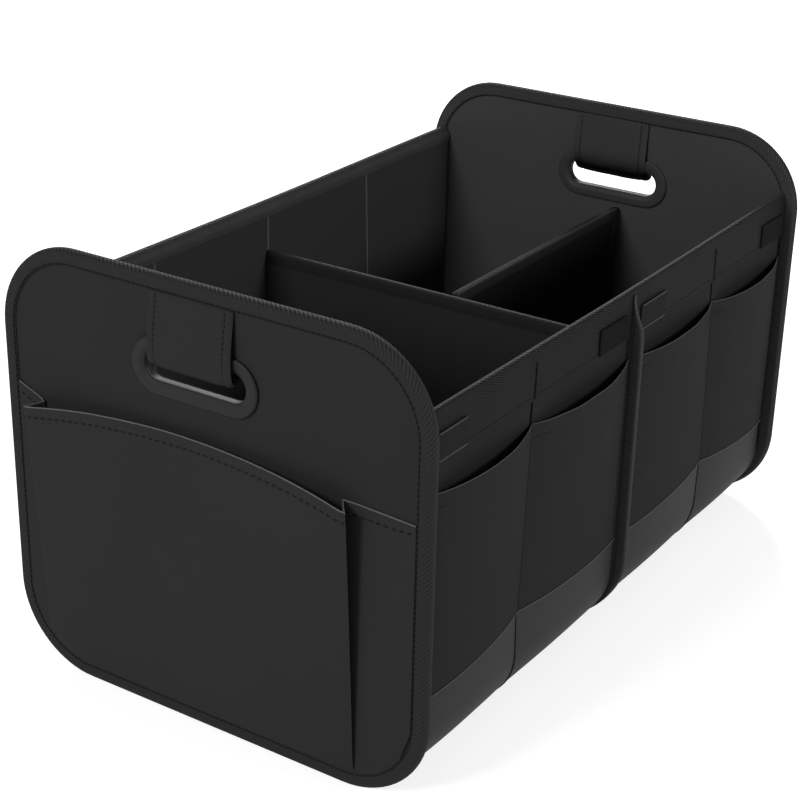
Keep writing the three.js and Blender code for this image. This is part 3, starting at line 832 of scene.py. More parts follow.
def tape_section(first, last, width, thick, round_reach, swell):
    """Folded tape round a board edge. The first number of a point is the distance out."""
    middle = (first + last) / 2
    half = (last - first) / 2 + swell
    angles = np.linspace(0, math.pi, 13)
    nose = [(-round_reach + round_reach * math.sin(a), middle - half * math.cos(a)) for a in angles]
    outer = [(-width, first + 0.5), (-width + 0.7, first + 0.05), (-width + 2.4, first - swell * 0.8)]
    outer_back = [(out, 2 * middle - depth) for out, depth in reversed(outer)]
    inner = [
        (-width, last - thick), (-thick, last - thick),
        (-thick, first + thick), (-width, first + thick),
    ]
    return np.array([*outer, *nose, *outer_back, *inner])


def end_tape(end_turn):
    """The tape folded round an end panel's edge."""
    section = tape_section(0, PANEL_THICK, TAPE_WIDTH, TAPE_THICK, TAPE_ROUND, TAPE_SWELL)
    return ring_skin(PANEL_LOOP, section, lambda u, v, d: end_turn(end_place(u, v, d)))


def ring_half(face, under, up, neck_end=None):
    """One half of the slot's ring. up is -1 outside and 1 inside."""
    height = up * abs(face - under)
    corners = [
        (RING_FLANGE - 2.2, under),
        (RING_FLANGE, under + height * 0.3),
        (RING_FLANGE, face - height * 0.4),
        (RING_FLANGE - 1.3, face),
        (4.2, face),
        (1.3, face - height * 0.42),
        (0, face - height * 0.85),
    ]
    if neck_end is None:
        corners += [(0, under)]
    else:
        corners += [(0, neck_end), (RING_NECK, neck_end), (RING_NECK, under)]
    return soft_ring(corners, 0.7)


def slot_ring(end_turn, outer):
    """The outer half of the ring, with the neck through the slot, or the inner half."""
    if outer:
        face, under = ring_low[0] + PANEL_FACE, COVER_DEPTH - SEW_GAP
        section = ring_half(face, under, -1, PANEL_INNER)
    else:
        face, under = inner_ring_high[0] + PANEL_FACE, PANEL_INNER + SEW_GAP
        section = ring_half(face, under, 1)
    return ring_skin(SLOT_LOOP, section, lambda u, v, d: end_turn(end_place(u, v, d)))


WRAP_SEAM = 6.5
WRAP_SWELL = 0.9
WRAP_PLAY = 2.2
WRAP_FORWARD = 1.5
WRAP_ENDS = 13
SHADE_SHEET_INSET = 0.9


def wrap_lines():
    """Matching outer and inner lines of the wrap's section, as depth and height."""
    front, back = wrap_low[0] + PANEL_FACE - WRAP_FORWARD, wrap_high[0] + PANEL_FACE
    flange_front, flange_back = front + 2, back - 2
    panel_front, panel_back = COVER_DEPTH - SEW_GAP, PANEL_INNER + SEW_GAP
    top, flange = wrap_high[2], SLOT_TOP + RING_FLANGE + 1
    pad_top, bottom = SLOT_TOP - WRAP_PLAY, wrap_low[2]
    outer = [
        (panel_front - 2, top), (front, flange), (front, bottom + 4),
        (front + 2.5, bottom), (back - 9, bottom),
        (back - 2, bottom + 12), (back, flange), (panel_back + 2, top),
    ]
    inner = [
        (panel_front, top), (flange_front, flange), (flange_front, pad_top + 1),
        (flange_front + 1.5, pad_top), (flange_back - 9, pad_top),
        (flange_back - 1.5, pad_top + 8), (flange_back, flange), (panel_back, top),
    ]
    counts = [10, 6, 3, 6, 3, 6, 10]
    lines = []
    for corners in (outer, inner):
        parts = [steps_between(*part, skip_first=True) for part in zip(corners, corners[1:], counts)]
        line = np.concatenate([corners[:1], *parts])
        for _ in range(3):
            line[1:-1] = (line[:-2] + 2 * line[1:-1] + line[2:]) / 4
        lines.append(line)
    return lines


def handle_wrap(end_turn, middle, seed):
    """The padded cloth over the top of a slot, its stitches, and near-black sheets behind its ends that
    paint the shade under its edges.
    """
    outer_line, inner_line = wrap_lines()
    half = (wrap_high[1] - wrap_low[1]) / 2
    across = np.unique(np.concatenate([
        np.linspace(-half, half, 25),
        [-half + 1, half - 1],
        [sign * (half - WRAP_SEAM + step) for sign in (-1, 1) for step in (-1.6, -0.8, 0, 0.8, 1.6)],
    ]))
    outward = unit(outer_line - inner_line)
    from_edge = half - np.abs(across)
    edge = smooth_step(from_edge / 2.5)
    lift = WRAP_SWELL * (1 - (across / half) ** 4)
    lift = lift - 0.7 * hump(from_edge - WRAP_SEAM, 1.0) - 0.8 * (1 - edge)
    flat = stack(outer_line[None, :, 0], across[:, None], outer_line[None, :, 1])
    waves = ripple(flat, WRAP_WAVE, seed) * 0.35 * edge[:, None]
    reach = (lift[:, None] + waves)[..., None]
    outer = outer_line[None] + outward[None] * reach
    full = np.linalg.norm(outer_line - inner_line, axis=1)
    thin = 1 - 0.5 * (1 - smooth_step(from_edge / 6.0))[:, None] * smooth_step((full - 1) / 0.8)[None]
    inner = outer_line[None] + (inner_line - outer_line)[None] * thin[..., None]
    front, back = (
        end_turn(end_place(middle + across[:, None], face[..., 1], face[..., 0])) for face in (outer, inner)
    )
    skin = Skin()
    run = run_of(front)
    run[..., 1] -= run[0, len(outer_line) // 2, 1]
    skin.sheet(front, back, run)
    thread = Skin()
    for sign in (-1, 1):
        column = int(np.argmin(np.abs(across - sign * (half - WRAP_SEAM))))
        out = unit(front[column] - back[column])
        stitches(thread, front[column] + out * 0.1, out, WRAP_STITCH)
    # Near-black sheets behind the wrap's edges: painted shade.
    shade_sheets = Skin()
    inset = half - SHADE_SHEET_INSET
    for line_part, plane in (
        (slice(0, WRAP_ENDS), COVER_DEPTH - 0.2),
        (slice(-WRAP_ENDS, None), PANEL_INNER + 0.2),
    ):
        depth, height = inner_line[line_part].T
        for sign in (-1, 1):
            u = np.array([sign * inset, sign * (inset - 1.2)])[:, None, None] + middle
            d = np.stack([depth, np.full(len(depth), plane)], axis=1)[None]
            points = end_turn(end_place(u, height[None, :, None], d))
            shade_sheets.sheet(points[0], points[1], run_of(points[0]))
    return skin, thread, shade_sheets


# The pleated pocket on an end panel

POCKET_FOLDS = (-131.0, 159.0)
POCKET_PLEATS = (-119.0, 152.0)
POCKET_SIDES = (226.5, 239.5)
POCKET_MOUTH = (228.5, 241.0)
POCKET_MIDDLE_DEPTH = 7.0
POCKET_FOLD_DEPTH = 16.5
POCKET_FOOT_DEPTH = 2.2
POCKET_HEM = 8.5
POCKET_BASE = 0.5
POCKET_HEM_ROWS = (16, 12, 10, 9, 8.5, 8, 7, 5, 3, 1.5, 0.6, 0)
POCKET_HEIGHT = 220


def field_bottom(across):
    """Height of the lower edge of the field inside the tape."""
    radius = PANEL_CORNER - TAPE_WIDTH - 0.1
    beyond = np.maximum(0, np.abs(across) - (PANEL_HALF - PANEL_CORNER))
    return PANEL_CORNER - np.sqrt(np.maximum(radius**2 - beyond**2, 0))


def pocket_columns():
    """Across, place in the pleats, and mouth height, for each column.

    The place is -1 on the right side, 1 to 2 along the front, and 5 on the left side.
    """
    right_fold, left_fold = POCKET_FOLDS
    right_pleat, left_pleat = POCKET_PLEATS
    side = WALL_FACE - 0.1
    low, high = POCKET_MOUTH
    share = np.linspace(0, 1, 61)
    mouth = low + (high - low) * (1 - (2 * share - 1) ** 2)
    return np.concatenate([
        steps_between((-side, -1, POCKET_SIDES[0]), (right_pleat, -1, low + 1), 7),
        steps_between((right_pleat, -1, low + 1), (right_fold, 0, low), 5),
        stack(right_fold + (left_fold - right_fold) * share, share + 1, mouth),
        steps_between((left_fold, 4, low), (left_pleat, 3, low + 1), 5, skip_first=True),
        steps_between((left_pleat, 5, low + 1), (side, 5, POCKET_SIDES[1]), 7, skip_first=True),
    ])


def end_pocket(end_turn, seed):
    """The pocket, the stitches of its hem, and a light cord along its mouth that paints the highlight on its
    edge.
    """
    across, code, mouth = pocket_columns().T
    hem_rows = 1 - np.array(POCKET_HEM_ROWS) / POCKET_HEIGHT
    rise = np.unique(np.concatenate([np.linspace(0, 0.1, 8), np.linspace(0.1, 0.9, 26), hem_rows]))
    fold = POCKET_FOOT_DEPTH + (POCKET_FOLD_DEPTH - POCKET_FOOT_DEPTH) * rise**1.15
    fold = fold * smooth_step(rise / 0.05)
    middle = POCKET_MIDDLE_DEPTH * np.sqrt(1 - (1 - np.clip(rise / 0.12, 0, 1)) ** 2)
    share = np.clip(code - 1, 0, 1)
    bow = np.abs(2 * share - 1) ** 2.4
    on_front = (code >= 1) & (code <= 2)
    front = middle[None, :] + (fold - middle)[None, :] * bow[:, None]
    right = (code > -1) & (code < 1)
    left = (code > 2) & (code < 5)
    out = np.where(on_front[:, None], front, 0)
    out = np.where(right[:, None], fold[None, :] * (code + 1)[:, None], out)
    out = np.where(left[:, None], fold[None, :] * (code - 3)[:, None], out)
    bottom = field_bottom(across)
    height = bottom[:, None] + (mouth - bottom)[:, None] * rise[None, :]
    flat = end_place(across[:, None], height, 0)
    slack = smooth_step(rise / 0.15)[None, :] * on_front[:, None] * (1 - bow[:, None])
    long_wave, short_wave = END_POCKET_WAVES
    waves = ripple(flat * np.array([1, 1, 0.35]), long_wave, seed) * 1.1
    waves = waves + ripple(flat, short_wave, seed + 3) * 0.25
    out = out + waves * slack
    for _ in range(2):
        out[1:-1] = (out[:-2] + 2 * out[1:-1] + out[2:]) / 4
    below = mouth[:, None] - height
    hem = smooth_step((POCKET_HEM + 0.6 - below) / 1.2) * 0.45
    dimple = hump(below - POCKET_HEM, 1.0) * 0.35
    middle_points = end_place(across[:, None], height, POCKET_BASE - out - hem / 2 + dimple)
    normal = normals_of(middle_points)
    half = (CLOTH_THICK + hem)[..., None] / 2
    front_points, back_points = middle_points + normal * half, middle_points - normal * half
    central = len(across) // 2
    if front_points[central, 10, 0] > back_points[central, 10, 0]:
        front_points, back_points = back_points, front_points
    skin = Skin()
    skin.sheet(end_turn(front_points), end_turn(back_points), run_of(middle_points))
    thread = Skin()
    row = int(np.argmin(np.abs(below[central] - POCKET_HEM)))
    outward = unit(front_points - back_points)
    stitches(thread, end_turn(front_points[:, row]), end_turn(outward[:, row]), END_HEM_STITCH)
    # A light cord along the mouth: painted highlight on the edge of the hem.
    edge = Skin()
    cord(edge, end_turn(middle_points[:, -1] + UPWARD * 0.35), UPWARD, MOUTH_EDGE_RADIUS)
    return skin, thread, edge


SLOT_LIP_DEPTH = 3.4


def slot_lip(end_turn):
    """A painted highlight along the lower edge of a slot, as one fine light ridge a little way in."""
    skin = Skin()
    line = SLOT_LOOP.line(0.1)[SLOT_LOOP.out[:, 1] < -0.25]
    line = line[np.argsort(line[:, 0])]
    depth = ring_low[0] + PANEL_FACE + SLOT_LIP_DEPTH
    cord(skin, end_turn(end_place(line[:, 0], line[:, 1], depth)), UPWARD, SLOT_LIP_RADIUS)
    return skin


def tape_stitches(end_turn):
    """The rows that hold the edge tape, outside and inside. The dark stitches sit close to the tape's edge
    and nearly touch, so they also paint the shade line along it.
    """
    thread = Skin()
    line = PANEL_LOOP.line(-TAPE_WIDTH + 1.0)
    line = np.concatenate([line, line[:1]])
    for depth, out in ((-0.3, -1.0), (PANEL_THICK + 0.3, 1.0)):
        points = end_turn(end_place(line[:, 0], line[:, 1], depth))
        stitches(thread, points, end_turn(np.array([out, 0.0, 0.0])), EDGE_STITCH)
    return thread


def make_end(end, end_turn, seed):
    """All that is sewn or clipped on one end panel."""
    end_tape(end_turn).build(f"{end}_edge_tape", EDGE_TAPE, "edge_tape", f"{end}_end_binding")
    for layer, depth, swell, cloth in (
        ("cover", COVER_DEPTH + CLOTH_THICK / 2, -0.45, PANEL_CLOTH),
        ("lining", PANEL_INNER - CLOTH_THICK / 2, 0.6, PANEL_LINING),
    ):
        skin = panel_field(depth, swell, seed + len(layer))
        skin.points = [end_turn(points) for points in skin.points]
        piece = skin.build(f"{end}_panel_{layer}", cloth, "panel_cloth", f"{end}_end_{layer}")
    for side, plastic in (("outer", SLOT_PLASTIC), ("inner", INNER_PLASTIC)):
        ring = slot_ring(end_turn, side == "outer")
        ring.build(f"{end}_slot_ring_{side}", plastic, "slot_plastic", f"{end}_grommet_{side}")
    # The slot lip is a light ridge: a painted highlight on the slot's lower edge.
    slot_lip(end_turn).build(f"{end}_slot_lip", PAINTED_HIGHLIGHT, "slot_plastic")
    wrap_box_low, wrap_box_high = box_of(f"{end}_handle_wrap")
    wrap_middle = (end_turn(wrap_box_low)[1] + end_turn(wrap_box_high)[1]) / 2
    wrap, wrap_thread, wrap_shade_sheets = handle_wrap(end_turn, wrap_middle, seed)
    piece = wrap.build(f"{end}_slot_wrap", WRAP_CLOTH, "panel_cloth", f"{end}_handle_wrap")
    wrap_thread.build(f"{end}_wrap_stitches", THREAD_AND_SHADE_CORDS, "edge_tape")
    wrap_shade_sheets.build(f"{end}_wrap_shade_sheets", SHADE_SHEET_FINISH, "edge_tape")
    pocket, pocket_thread, pocket_edge = end_pocket(end_turn, seed)
    # The light mouth cord is a painted highlight.
    pocket_edge.build(f"{end}_pocket_edge", PAINTED_HIGHLIGHT, "pocket_cloth")
    piece = pocket.build(f"{end}_pleated_pocket", END_POCKET_CLOTH, "pocket_cloth", f"{end}_end_pocket")
    pocket_thread.build(f"{end}_pocket_stitches", THREAD_AND_SHADE_CORDS, "edge_tape")
    tape_stitches(end_turn).build(f"{end}_tape_stitches", THREAD_AND_SHADE_CORDS, "edge_tape")


# Long walls

BAND_THICK = 1.2
SEAM_LEAN = (4.0, 8.0, -1.0)
SEAM_LEAN_HEIGHTS = (10, 90, 290)
LOWER_LINE_HEIGHTS = (90, 96, 86)
SEAM_DISTANCES = (0, FOLD_LINE, -cloth_low[0])
RIM_PINCH = 3.4
PINCH_REACH = 9.0
CLOTH_STEP = 5
BAND_STEP = 4.9
BAND_INNER_DROP = 13


def rim_dip(x):
    """How far the rim of a wall sinks between the end panels."""
    return RIM_DIP * np.cos(np.clip(x / PANEL_FACE, -1, 1) * math.pi / 2) ** 2


def rim_pinch(below):
    """How much thinner the rim is, at that far below its top, where no board holds it open."""
    return RIM_PINCH * smooth_step((PINCH_REACH - below) / 7.0)


def bow_at(x):
    """0 at the upright seams of a wall and 1 half way between two of them."""
    share = np.interp(x, SEAMS, range(len(SEAMS))) % 1.0
    return 1 - np.abs(2 * share - 1) ** 2.2


def leaned(points):
    """The same points with the upright seams leaning, closer to the middle at their tops."""
    size = np.abs(points[..., 0])
    nearness = np.interp(size, SEAM_DISTANCES, [0, 1, 0])
    shift = np.interp(points[..., 2], SEAM_LEAN_HEIGHTS, SEAM_LEAN) * nearness
    moved = points.copy()
    moved[..., 0] += np.sign(points[..., 0]) * shift
    return moved


def lower_line(x):
    """Height of the seam between the pockets and the lower cloth."""
    return np.interp(np.abs(x), SEAM_DISTANCES, LOWER_LINE_HEIGHTS)


def at_fold(x, width):
    """1 at the fold lines of a wall, and next to nothing beyond two widths of them."""
    return hump(np.abs(x) - FOLD_LINE, width)[:, None]


def places_along(start, end, spacing):
    """Places along a wall, closer together beside the fold lines."""
    marks = [side * FOLD_LINE + step for side in (-1, 1) for step in (-4, -1.5, 0, 1.5, 4)]
    inside = [m for m in marks if start < m < end]
    even = np.linspace(start, end, round((end - start) / spacing) + 1)
    even = [x for x in even if all(abs(x - m) > spacing * 0.4 for m in inside)]
    return np.unique(np.concatenate([even, inside]))


def top_band(wall_turn, seed):
    """The ribbed band folded over the rim, and its stitches."""
    face, inside = -band_low[1], -band_high[1]
    x = places_along(band_low[0], band_high[0], BAND_STEP)
    outer_line, inner_line = face - BAND_THICK / 2, inside + BAND_THICK / 2
    radius = (outer_line - inner_line - RIM_PINCH) / 2
    centre = outer_line - radius
    spring = WALL_TOP - BAND_THICK / 2 - radius
    down = np.linspace(band_low[2], spring, 12)[:-1]
    angles = np.linspace(0, math.pi, 9)
    inner_leg = np.linspace(spring, WALL_TOP - BAND_INNER_DROP, 8)[1:]
    inner_out = inner_line + rim_pinch(WALL_TOP - inner_leg)
    out = np.concatenate([np.full(len(down), outer_line), centre + radius * np.cos(angles), inner_out])
    height = np.concatenate([down, spring + radius * np.sin(angles), inner_leg])
    points = stack(x[:, None], -out[None, :], height[None, :])
    waves = ripple(points * np.array([1, 1, 1.2]), BAND_WAVE, seed)
    looseness = smooth_step((spring - height) / 30)[None, :]
    points[..., 1] -= (waves * 0.5 + 0.35) * looseness * (out[None, :] > centre) * (1 - at_fold(x, 3.0))
    points[..., 2] -= rim_dip(x)[:, None]
    skin = Skin()
    skin.cloth(points, BAND_THICK)
    thread = Skin()
    row = points[:, 1] + OUTWARD * BAND_THICK / 2
    stitches(thread, wall_turn(row), wall_turn(OUTWARD))
    skin.points = [wall_turn(p) for p in skin.points]
    return skin, thread


def wall_cloth(start, end, seed):
    """The flat outer cloth of half a wall."""
    x = places_along(start, end, CLOTH_STEP)
    share = np.linspace(0, 1, 36)
    top = WALL_TOP - 4 - rim_dip(x)
    bottom = lower_line(x) + SEW_GAP
    height = bottom[:, None] + (top - bottom)[:, None] * share[None, :]
    points = stack(x[:, None], -(WALL_FACE - CLOTH_THICK / 2), height)
    points[..., 1] += at_fold(x, 2.0) * 0.6 - np.maximum(ripple(points, WALL_WAVE, seed), -0.4) * 0.4
    return points


POCKET_MOUTH_OUT = pocket_high[1] - pocket_low[1] - 1.0
WALL_HEM = 10.0
WALL_HEM_ROWS = (12.5, 11.5, 10.8, 10, 9.2, 8.4, 6, 4, 2.2, 1, 0.3, 0)
MOUTH_SAG = 2.0
BESIDE_MIDDLE_SEAM = 9.0


def wall_pocket(start, end, seed):
    """A pocket that bows out between its upright seams, sewn at the bottom to the lower cloth.

    Gives its two faces, its run, the hem line and the directions out of it, and the lines of foot and mouth.
    """
    mouth = pocket_high[2]
    share = np.sin(np.linspace(-math.pi / 2, math.pi / 2, 49)) * 0.5 + 0.5
    x = start + (end - start) * share
    bottom = lower_line(x) - 1.6
    hem_rows = 1 - np.array(WALL_HEM_ROWS) / (mouth - pocket_low[2])
    rise = np.sort(np.concatenate([np.linspace(0, 0.9, 28), hem_rows]))
    height = bottom[:, None] + (mouth - bottom)[:, None] * rise[None, :]
    bow = bow_at(x)[:, None]
    out = (LOWER_BULGE + (POCKET_MOUTH_OUT - LOWER_BULGE) * rise[None, :] ** 0.9) * bow
    flat = stack(x[:, None], 0, height)
    long_wave, short_wave = WALL_POCKET_WAVES
    creases = ripple(flat * np.array([1.6, 1, 0.35]), long_wave, seed)
    creases = creases + ripple(flat, short_wave, seed + 5) * 0.2
    loose = smooth_step(out / 5) * smooth_step(rise / 0.12)[None, :]
    out = out + creases * loose * (0.3 + 0.7 * rise[None, :])
    below = mouth - height
    hem_step = smooth_step((WALL_HEM + 0.5 - below) / 3.0) * 0.2
    sag = MOUTH_SAG * bow * smooth_step((rise[None, :] - 0.6) / 0.4)
    y = -(WALL_FACE + SEW_GAP + CLOTH_THICK / 2 + out + hem_step / 2)
    middle = stack(x[:, None], y, height - sag)
    normal = normals_of(middle)
    if normal[24, 20, 1] > 0:
        normal = -normal
    half = (CLOTH_THICK + hem_step)[..., None] / 2
    front, back = middle + normal * half, middle - normal * half
    row = int(np.argmin(np.abs(below[24] - WALL_HEM)))
    edge = middle[1:-1, -1] + UPWARD * 0.3
    foot = front[:, 0] + UPWARD * 0.2
    return front, back, run_of(middle), front[1:-1, row], normal[1:-1, row], foot, edge


def patch_skin(low, high):
    """A hook-and-loop patch with soft edges, its line of stitches, and its upper and lower edges."""
    loop = Loop(low[0], high[0], low[2], high[2], 2.0, 2.0)
    thick = high[1] - low[1]
    half = (high[2] - low[2]) / 2
    section = [
        (0, 0), (0, thick * 0.55), (-0.5, thick * 0.9), (-1.4, thick),
        (-2.6, thick - 0.2), (-3.6, thick), (-half * 0.7, thick + 0.2), (-half + 0.6, thick + 0.25),
    ]
    points = carried(loop, section, lambda u, v, up: stack(u, high[1] - up, v))
    skin = Skin()
    skin.shell(points, run_of(points, around=True))
    stitch_loop = np.concatenate([points[:, 4], points[:1, 4]])
    edges = [points[sign * loop.out[:, 1] > 0.9, 2] for sign in (1, -1)]
    return skin, stitch_loop, [edge[np.argsort(edge[:, 0])] for edge in edges]


RIDGE_TOP = WALL_TOP - 14
RIDGE_DEPTH = LINING_FACE - 0.8
SEAM_UNDER_ANGLE = 64


def lining_ridge(ridge_highlights, wall_turn, x, heights):
    """A narrow upright ridge of the lining, light in colour as a painted highlight."""
    ridge = leaned(stack(x, -RIDGE_DEPTH, heights))
    cord(ridge_highlights, wall_turn(ridge), wall_turn(INWARD), RIDGE_RADIUS)


def upright_seams(stitches_and_shade_lines, ridge_highlights, wall_turn, x):
    """The seam at a fold line: an unbroken dark cord outside that paints the shade in the seam, and a narrow
    ridge of lining inside, light in colour as a painted highlight.
    """
    band_part = np.linspace(WALL_TOP - 12, band_low[2], 8)
    wall_part = np.linspace(band_low[2] - 0.5, lower_line(x) + 1, 40)
    corner_angles = np.radians(np.linspace(0, SEAM_UNDER_ANGLE, 14))
    centre = WALL_FACE - TROUGH_CORNER, FLOOR_UNDER + TROUGH_CORNER
    low_part = np.linspace(lower_line(x), centre[1], 8)[:-1]
    round_part = centre[1] - TROUGH_CORNER * np.sin(corner_angles)
    heights = np.concatenate([band_part, wall_part, low_part, round_part])
    faces = np.concatenate([
        np.full(len(band_part), -band_low[1] + 0.25),
        np.full(len(wall_part) + len(low_part), WALL_FACE + 0.1),
        centre[0] + (TROUGH_CORNER + 0.1) * np.cos(corner_angles),
    ])
    line = leaned(stack(x, -faces, heights))
    out = np.tile(OUTWARD, (len(line), 1))
    out[-len(corner_angles):, 1] = -np.cos(corner_angles)
    out[-len(corner_angles):, 2] = -np.sin(corner_angles)
    # An unbroken dark cord: painted shade in the seam.
    cord(stitches_and_shade_lines, wall_turn(line), wall_turn(out), SEAM_SHADE_RADIUS)
    lining_ridge(ridge_highlights, wall_turn, x, np.linspace(LINING_FLOOR + LINING_CORNER, RIDGE_TOP, 40))


def make_wall(side, wall_turn, seed):
    """All that is sewn on one long wall. Its pieces count from the near end on both sides."""
    is_left = side == "left"
    out = wall_turn(OUTWARD)

    def number(index):
        return 4 - index if is_left else index + 1

    def half(is_first):
        return "far" if is_first == is_left else "near"

    band, stitches_and_shade_lines = top_band(wall_turn, seed)
    piece = band.build(f"{side}_rim_band", BAND_TAPE, "edge_tape", f"{side}_top_band")
    halves = ((True, (cloth_low[0], -SEW_GAP / 2)), (False, (SEW_GAP / 2, -cloth_low[0])))
    for first, (start, end) in halves:
        cloth = wall_turn(leaned(wall_cloth(start, end, seed + first)))
        name = half(first)
        piece = cloth_piece(
            cloth, CLOTH_THICK, f"{side}_wall_face_{name}", WALL_CLOTH, "panel_cloth",
            f"{side}_wall_cloth_{name}",
        )

    spans = [
        (pocket_low[0], pocket_high[0]), (second_pocket_low[0], second_pocket_high[0]),
        (-second_pocket_high[0], -second_pocket_low[0]), (-pocket_high[0], -pocket_low[0]),
    ]
    edges = Skin()
    for index, (start, end) in enumerate(spans):
        front, back, run, seam, face, foot, edge = wall_pocket(start, end, seed + 11 * index)
        front, back, seam, foot, edge = (leaned(part) for part in (front, back, seam, foot, edge))
        skin = Skin()
        skin.sheet(wall_turn(front), wall_turn(back), run)
        piece = skin.build(
            f"{side}_bowed_pocket_{number(index)}", POCKET_CLOTH, "pocket_cloth",
            f"{side}_pocket_{number(index)}",
        )
        f"{side}_board_{number(index)}"
        for ends in (slice(0, 12), slice(-12, None)):
            stitches(stitches_and_shade_lines, wall_turn(seam[ends]), wall_turn(face[ends]), WALL_HEM_STITCH)
        # Light cords at the mouth and foot of the pocket: painted highlights on its edges.
        cord(edges, wall_turn(edge), UPWARD, WALL_MOUTH_RADIUS)
        cord(edges, wall_turn(foot), out, FOOT_HIGHLIGHT_RADIUS)
        # A dark cord just above the foot: painted shade over the light foot line.
        cord(stitches_and_shade_lines, wall_turn(foot + UPWARD * 1.2), out, SHADE_LINE_RADIUS)
        if index in (1, 2):
            column = int(np.argmin(np.abs(np.abs(front[:, 0, 0]) - BESIDE_MIDDLE_SEAM)))
            # A dark cord beside the middle seam: painted shade between the seam and the pocket.
            cord(stitches_and_shade_lines, wall_turn(front[column, 1:-1]), out, SHADE_LINE_RADIUS)

    rims = Skin()
    for index in range(4):
        low, high = box_of(f"right_patch_{index + 1}")
        skin, stitch_loop, patch_edges = patch_skin(low, high)
        drop = OUTWARD * 0.4 - UPWARD * rim_dip((low[0] + high[0]) / 2)
        skin.points = [wall_turn(p + drop) for p in skin.points]
        has_hooks = index in (0, 2)
        finish = HOOK_FASTENER if has_hooks else FASTENER
        skin.build(
            f"{side}_loop_patch_{number(index)}", finish, "fastener", f"{side}_patch_{number(index)}"
        )
        if has_hooks:
            # Light cords along the upper and lower edges of a hook patch: painted highlights.
            for edge in patch_edges:
                cord(rims, wall_turn(edge + drop), out, PATCH_EDGE_RADIUS)
        else:
            stitches(stitches_and_shade_lines, wall_turn(stitch_loop + drop), out, PATCH_STITCH)

    ridge_highlights = Skin()
    for sign in (-1, 1):
        upright_seams(stitches_and_shade_lines, ridge_highlights, wall_turn, sign * FOLD_LINE)
    lining_ridge(ridge_highlights, wall_turn, 0.0, np.linspace(middle_tape_high[2] - 4, RIDGE_TOP, 8))
    stitches_and_shade_lines.build(f"{side}_wall_stitches_and_shade_lines", THREAD_AND_SHADE_CORDS, "edge_tape")
    # The lining ridges are coloured light as painted highlights.
    ridge_highlights.build(f"{side}_lining_ridges", PAINTED_HIGHLIGHT, "lining_cloth")
    edges.build(f"{side}_pocket_edges", HEM_HIGHLIGHT, "pocket_cloth")
    rims.build(f"{side}_patch_edges", HEM_HIGHLIGHT, "fastener")


# Bottom cloth and lining, as troughs

def trough_line(face, floor, radius, top, spacing):
    """Across and height from the left top, down, over the floor and up to the right top."""
    parts = [[(-face, top), (-face, floor + radius)]]
    for sign, start in ((-1, 180), (1, 270)):
        angle = np.radians(start + np.linspace(0, 90, 15))
        middle = np.array([sign * (face - radius), floor + radius])
        parts.append(middle + radius * stack(np.cos(angle), np.sin(angle)))
    parts.append([(face, floor + radius), (face, top)])
    line = np.concatenate(parts)
    is_new = np.linalg.norm(np.diff(line, axis=0), axis=1) > 0.01
    return divided(line[np.append(True, is_new)], spacing)


def lower_trough(start, end, line, seed):
    """The bottom cloth, which bows out up to the seam with the pockets."""
    x = places_along(start, end, CLOTH_STEP)
    points, normal = trough_points(x, line)
    top = line[:, 1].max()
    share = np.clip((points[..., 2] - 30) / (top - 30), 0, 1)
    points[..., 2] += (lower_line(x) - top)[:, None] * share
    rise = smooth_step((points[..., 2] - 14) / (lower_line(x)[:, None] - 14)) ** 0.8
    waves = (ripple(points, WALL_WAVE, seed) * 0.5 + 0.5) * smooth_step(points[..., 2] / 12) * 0.7
    reach = (LOWER_BULGE * rise + waves) * bow_at(x)[:, None]
    return leaned(points - normal * reach[..., None])


def trough_points(x, line):
    """Points of a trough, and the directions from them into the box."""
    points = stack(x[:, None], line[None, :, 0], line[None, :, 1])
    normal = normals_of(points)
    to_middle = np.array([0, 0, 200.0]) - points * np.array([0, 1, 1])
    return points, normal * np.sign((normal * to_middle).sum(-1, keepdims=True))


LINING_SWELL = 2.2


def lining_trough(start, end, line, seed):
    """The lining, which hangs a little loose and is drawn in at the seams and under the rim."""
    x = places_along(start, end, CLOTH_STEP)
    points, normal = trough_points(x, line)
    top = line[:, 1].max()
    share = np.clip((line[:, 1] - 150) / (top - 150), 0, 1)
    below = WALL_TOP - points[..., 2]
    free = smooth_step((x - start) / 12) * smooth_step((end - x) / 12)
    long_wave, short_wave = LINING_WAVES
    waves = np.clip(ripple(points * np.array([1, 1, 0.6]), long_wave, seed) * 0.6 + 0.4, 0, 1)
    waves = waves + ripple(points, short_wave, seed + 2) * 0.12
    reach = LINING_SWELL * waves * free[:, None] * (1 - at_fold(x, 3.0)) * smooth_step((below - 20) / 25)
    reach = reach - rim_pinch(below)
    points = points + normal * reach[..., None]
    points[..., 2] -= rim_dip(x)[:, None] * share[None, :]
    return points


def make_troughs():
    """The bottom cloth and the lining, each in a near and a far half."""
    bottom_line = trough_line(
        WALL_FACE - CLOTH_THICK / 2,
        FLOOR_UNDER + CLOTH_THICK / 2,
        TROUGH_CORNER - CLOTH_THICK / 2,
        LOWER_BAND_TOP,
        7.0,
    )
    lining_line = trough_line(
        LINING_FACE - LINING_THICK / 2,
        LINING_FLOOR + LINING_THICK / 2,
        LINING_CORNER - LINING_THICK / 2,
        WALL_TOP - 4,
        8.0,
    )
    for name, sign, seed, board in (("near", 1, 3, "right_board_2"), ("far", -1, 4, "right_board_3")):
        low, high = sorted((sign * bottom_low[0], sign * bottom_high[0]))
        cloth = lower_trough(low, high, bottom_line, seed)
        piece = cloth_piece(
            cloth, CLOTH_THICK, f"bottom_cloth_{name}", LOWER_CLOTH, "lower_cloth", f"bottom_{name}"
        )
        cloth = lining_trough(low, high, lining_line, seed + 5)
        piece = cloth_piece(
            cloth, LINING_THICK, f"inner_cloth_{name}", LINING_CLOTH, "lining_cloth", f"lining_{name}"
        )


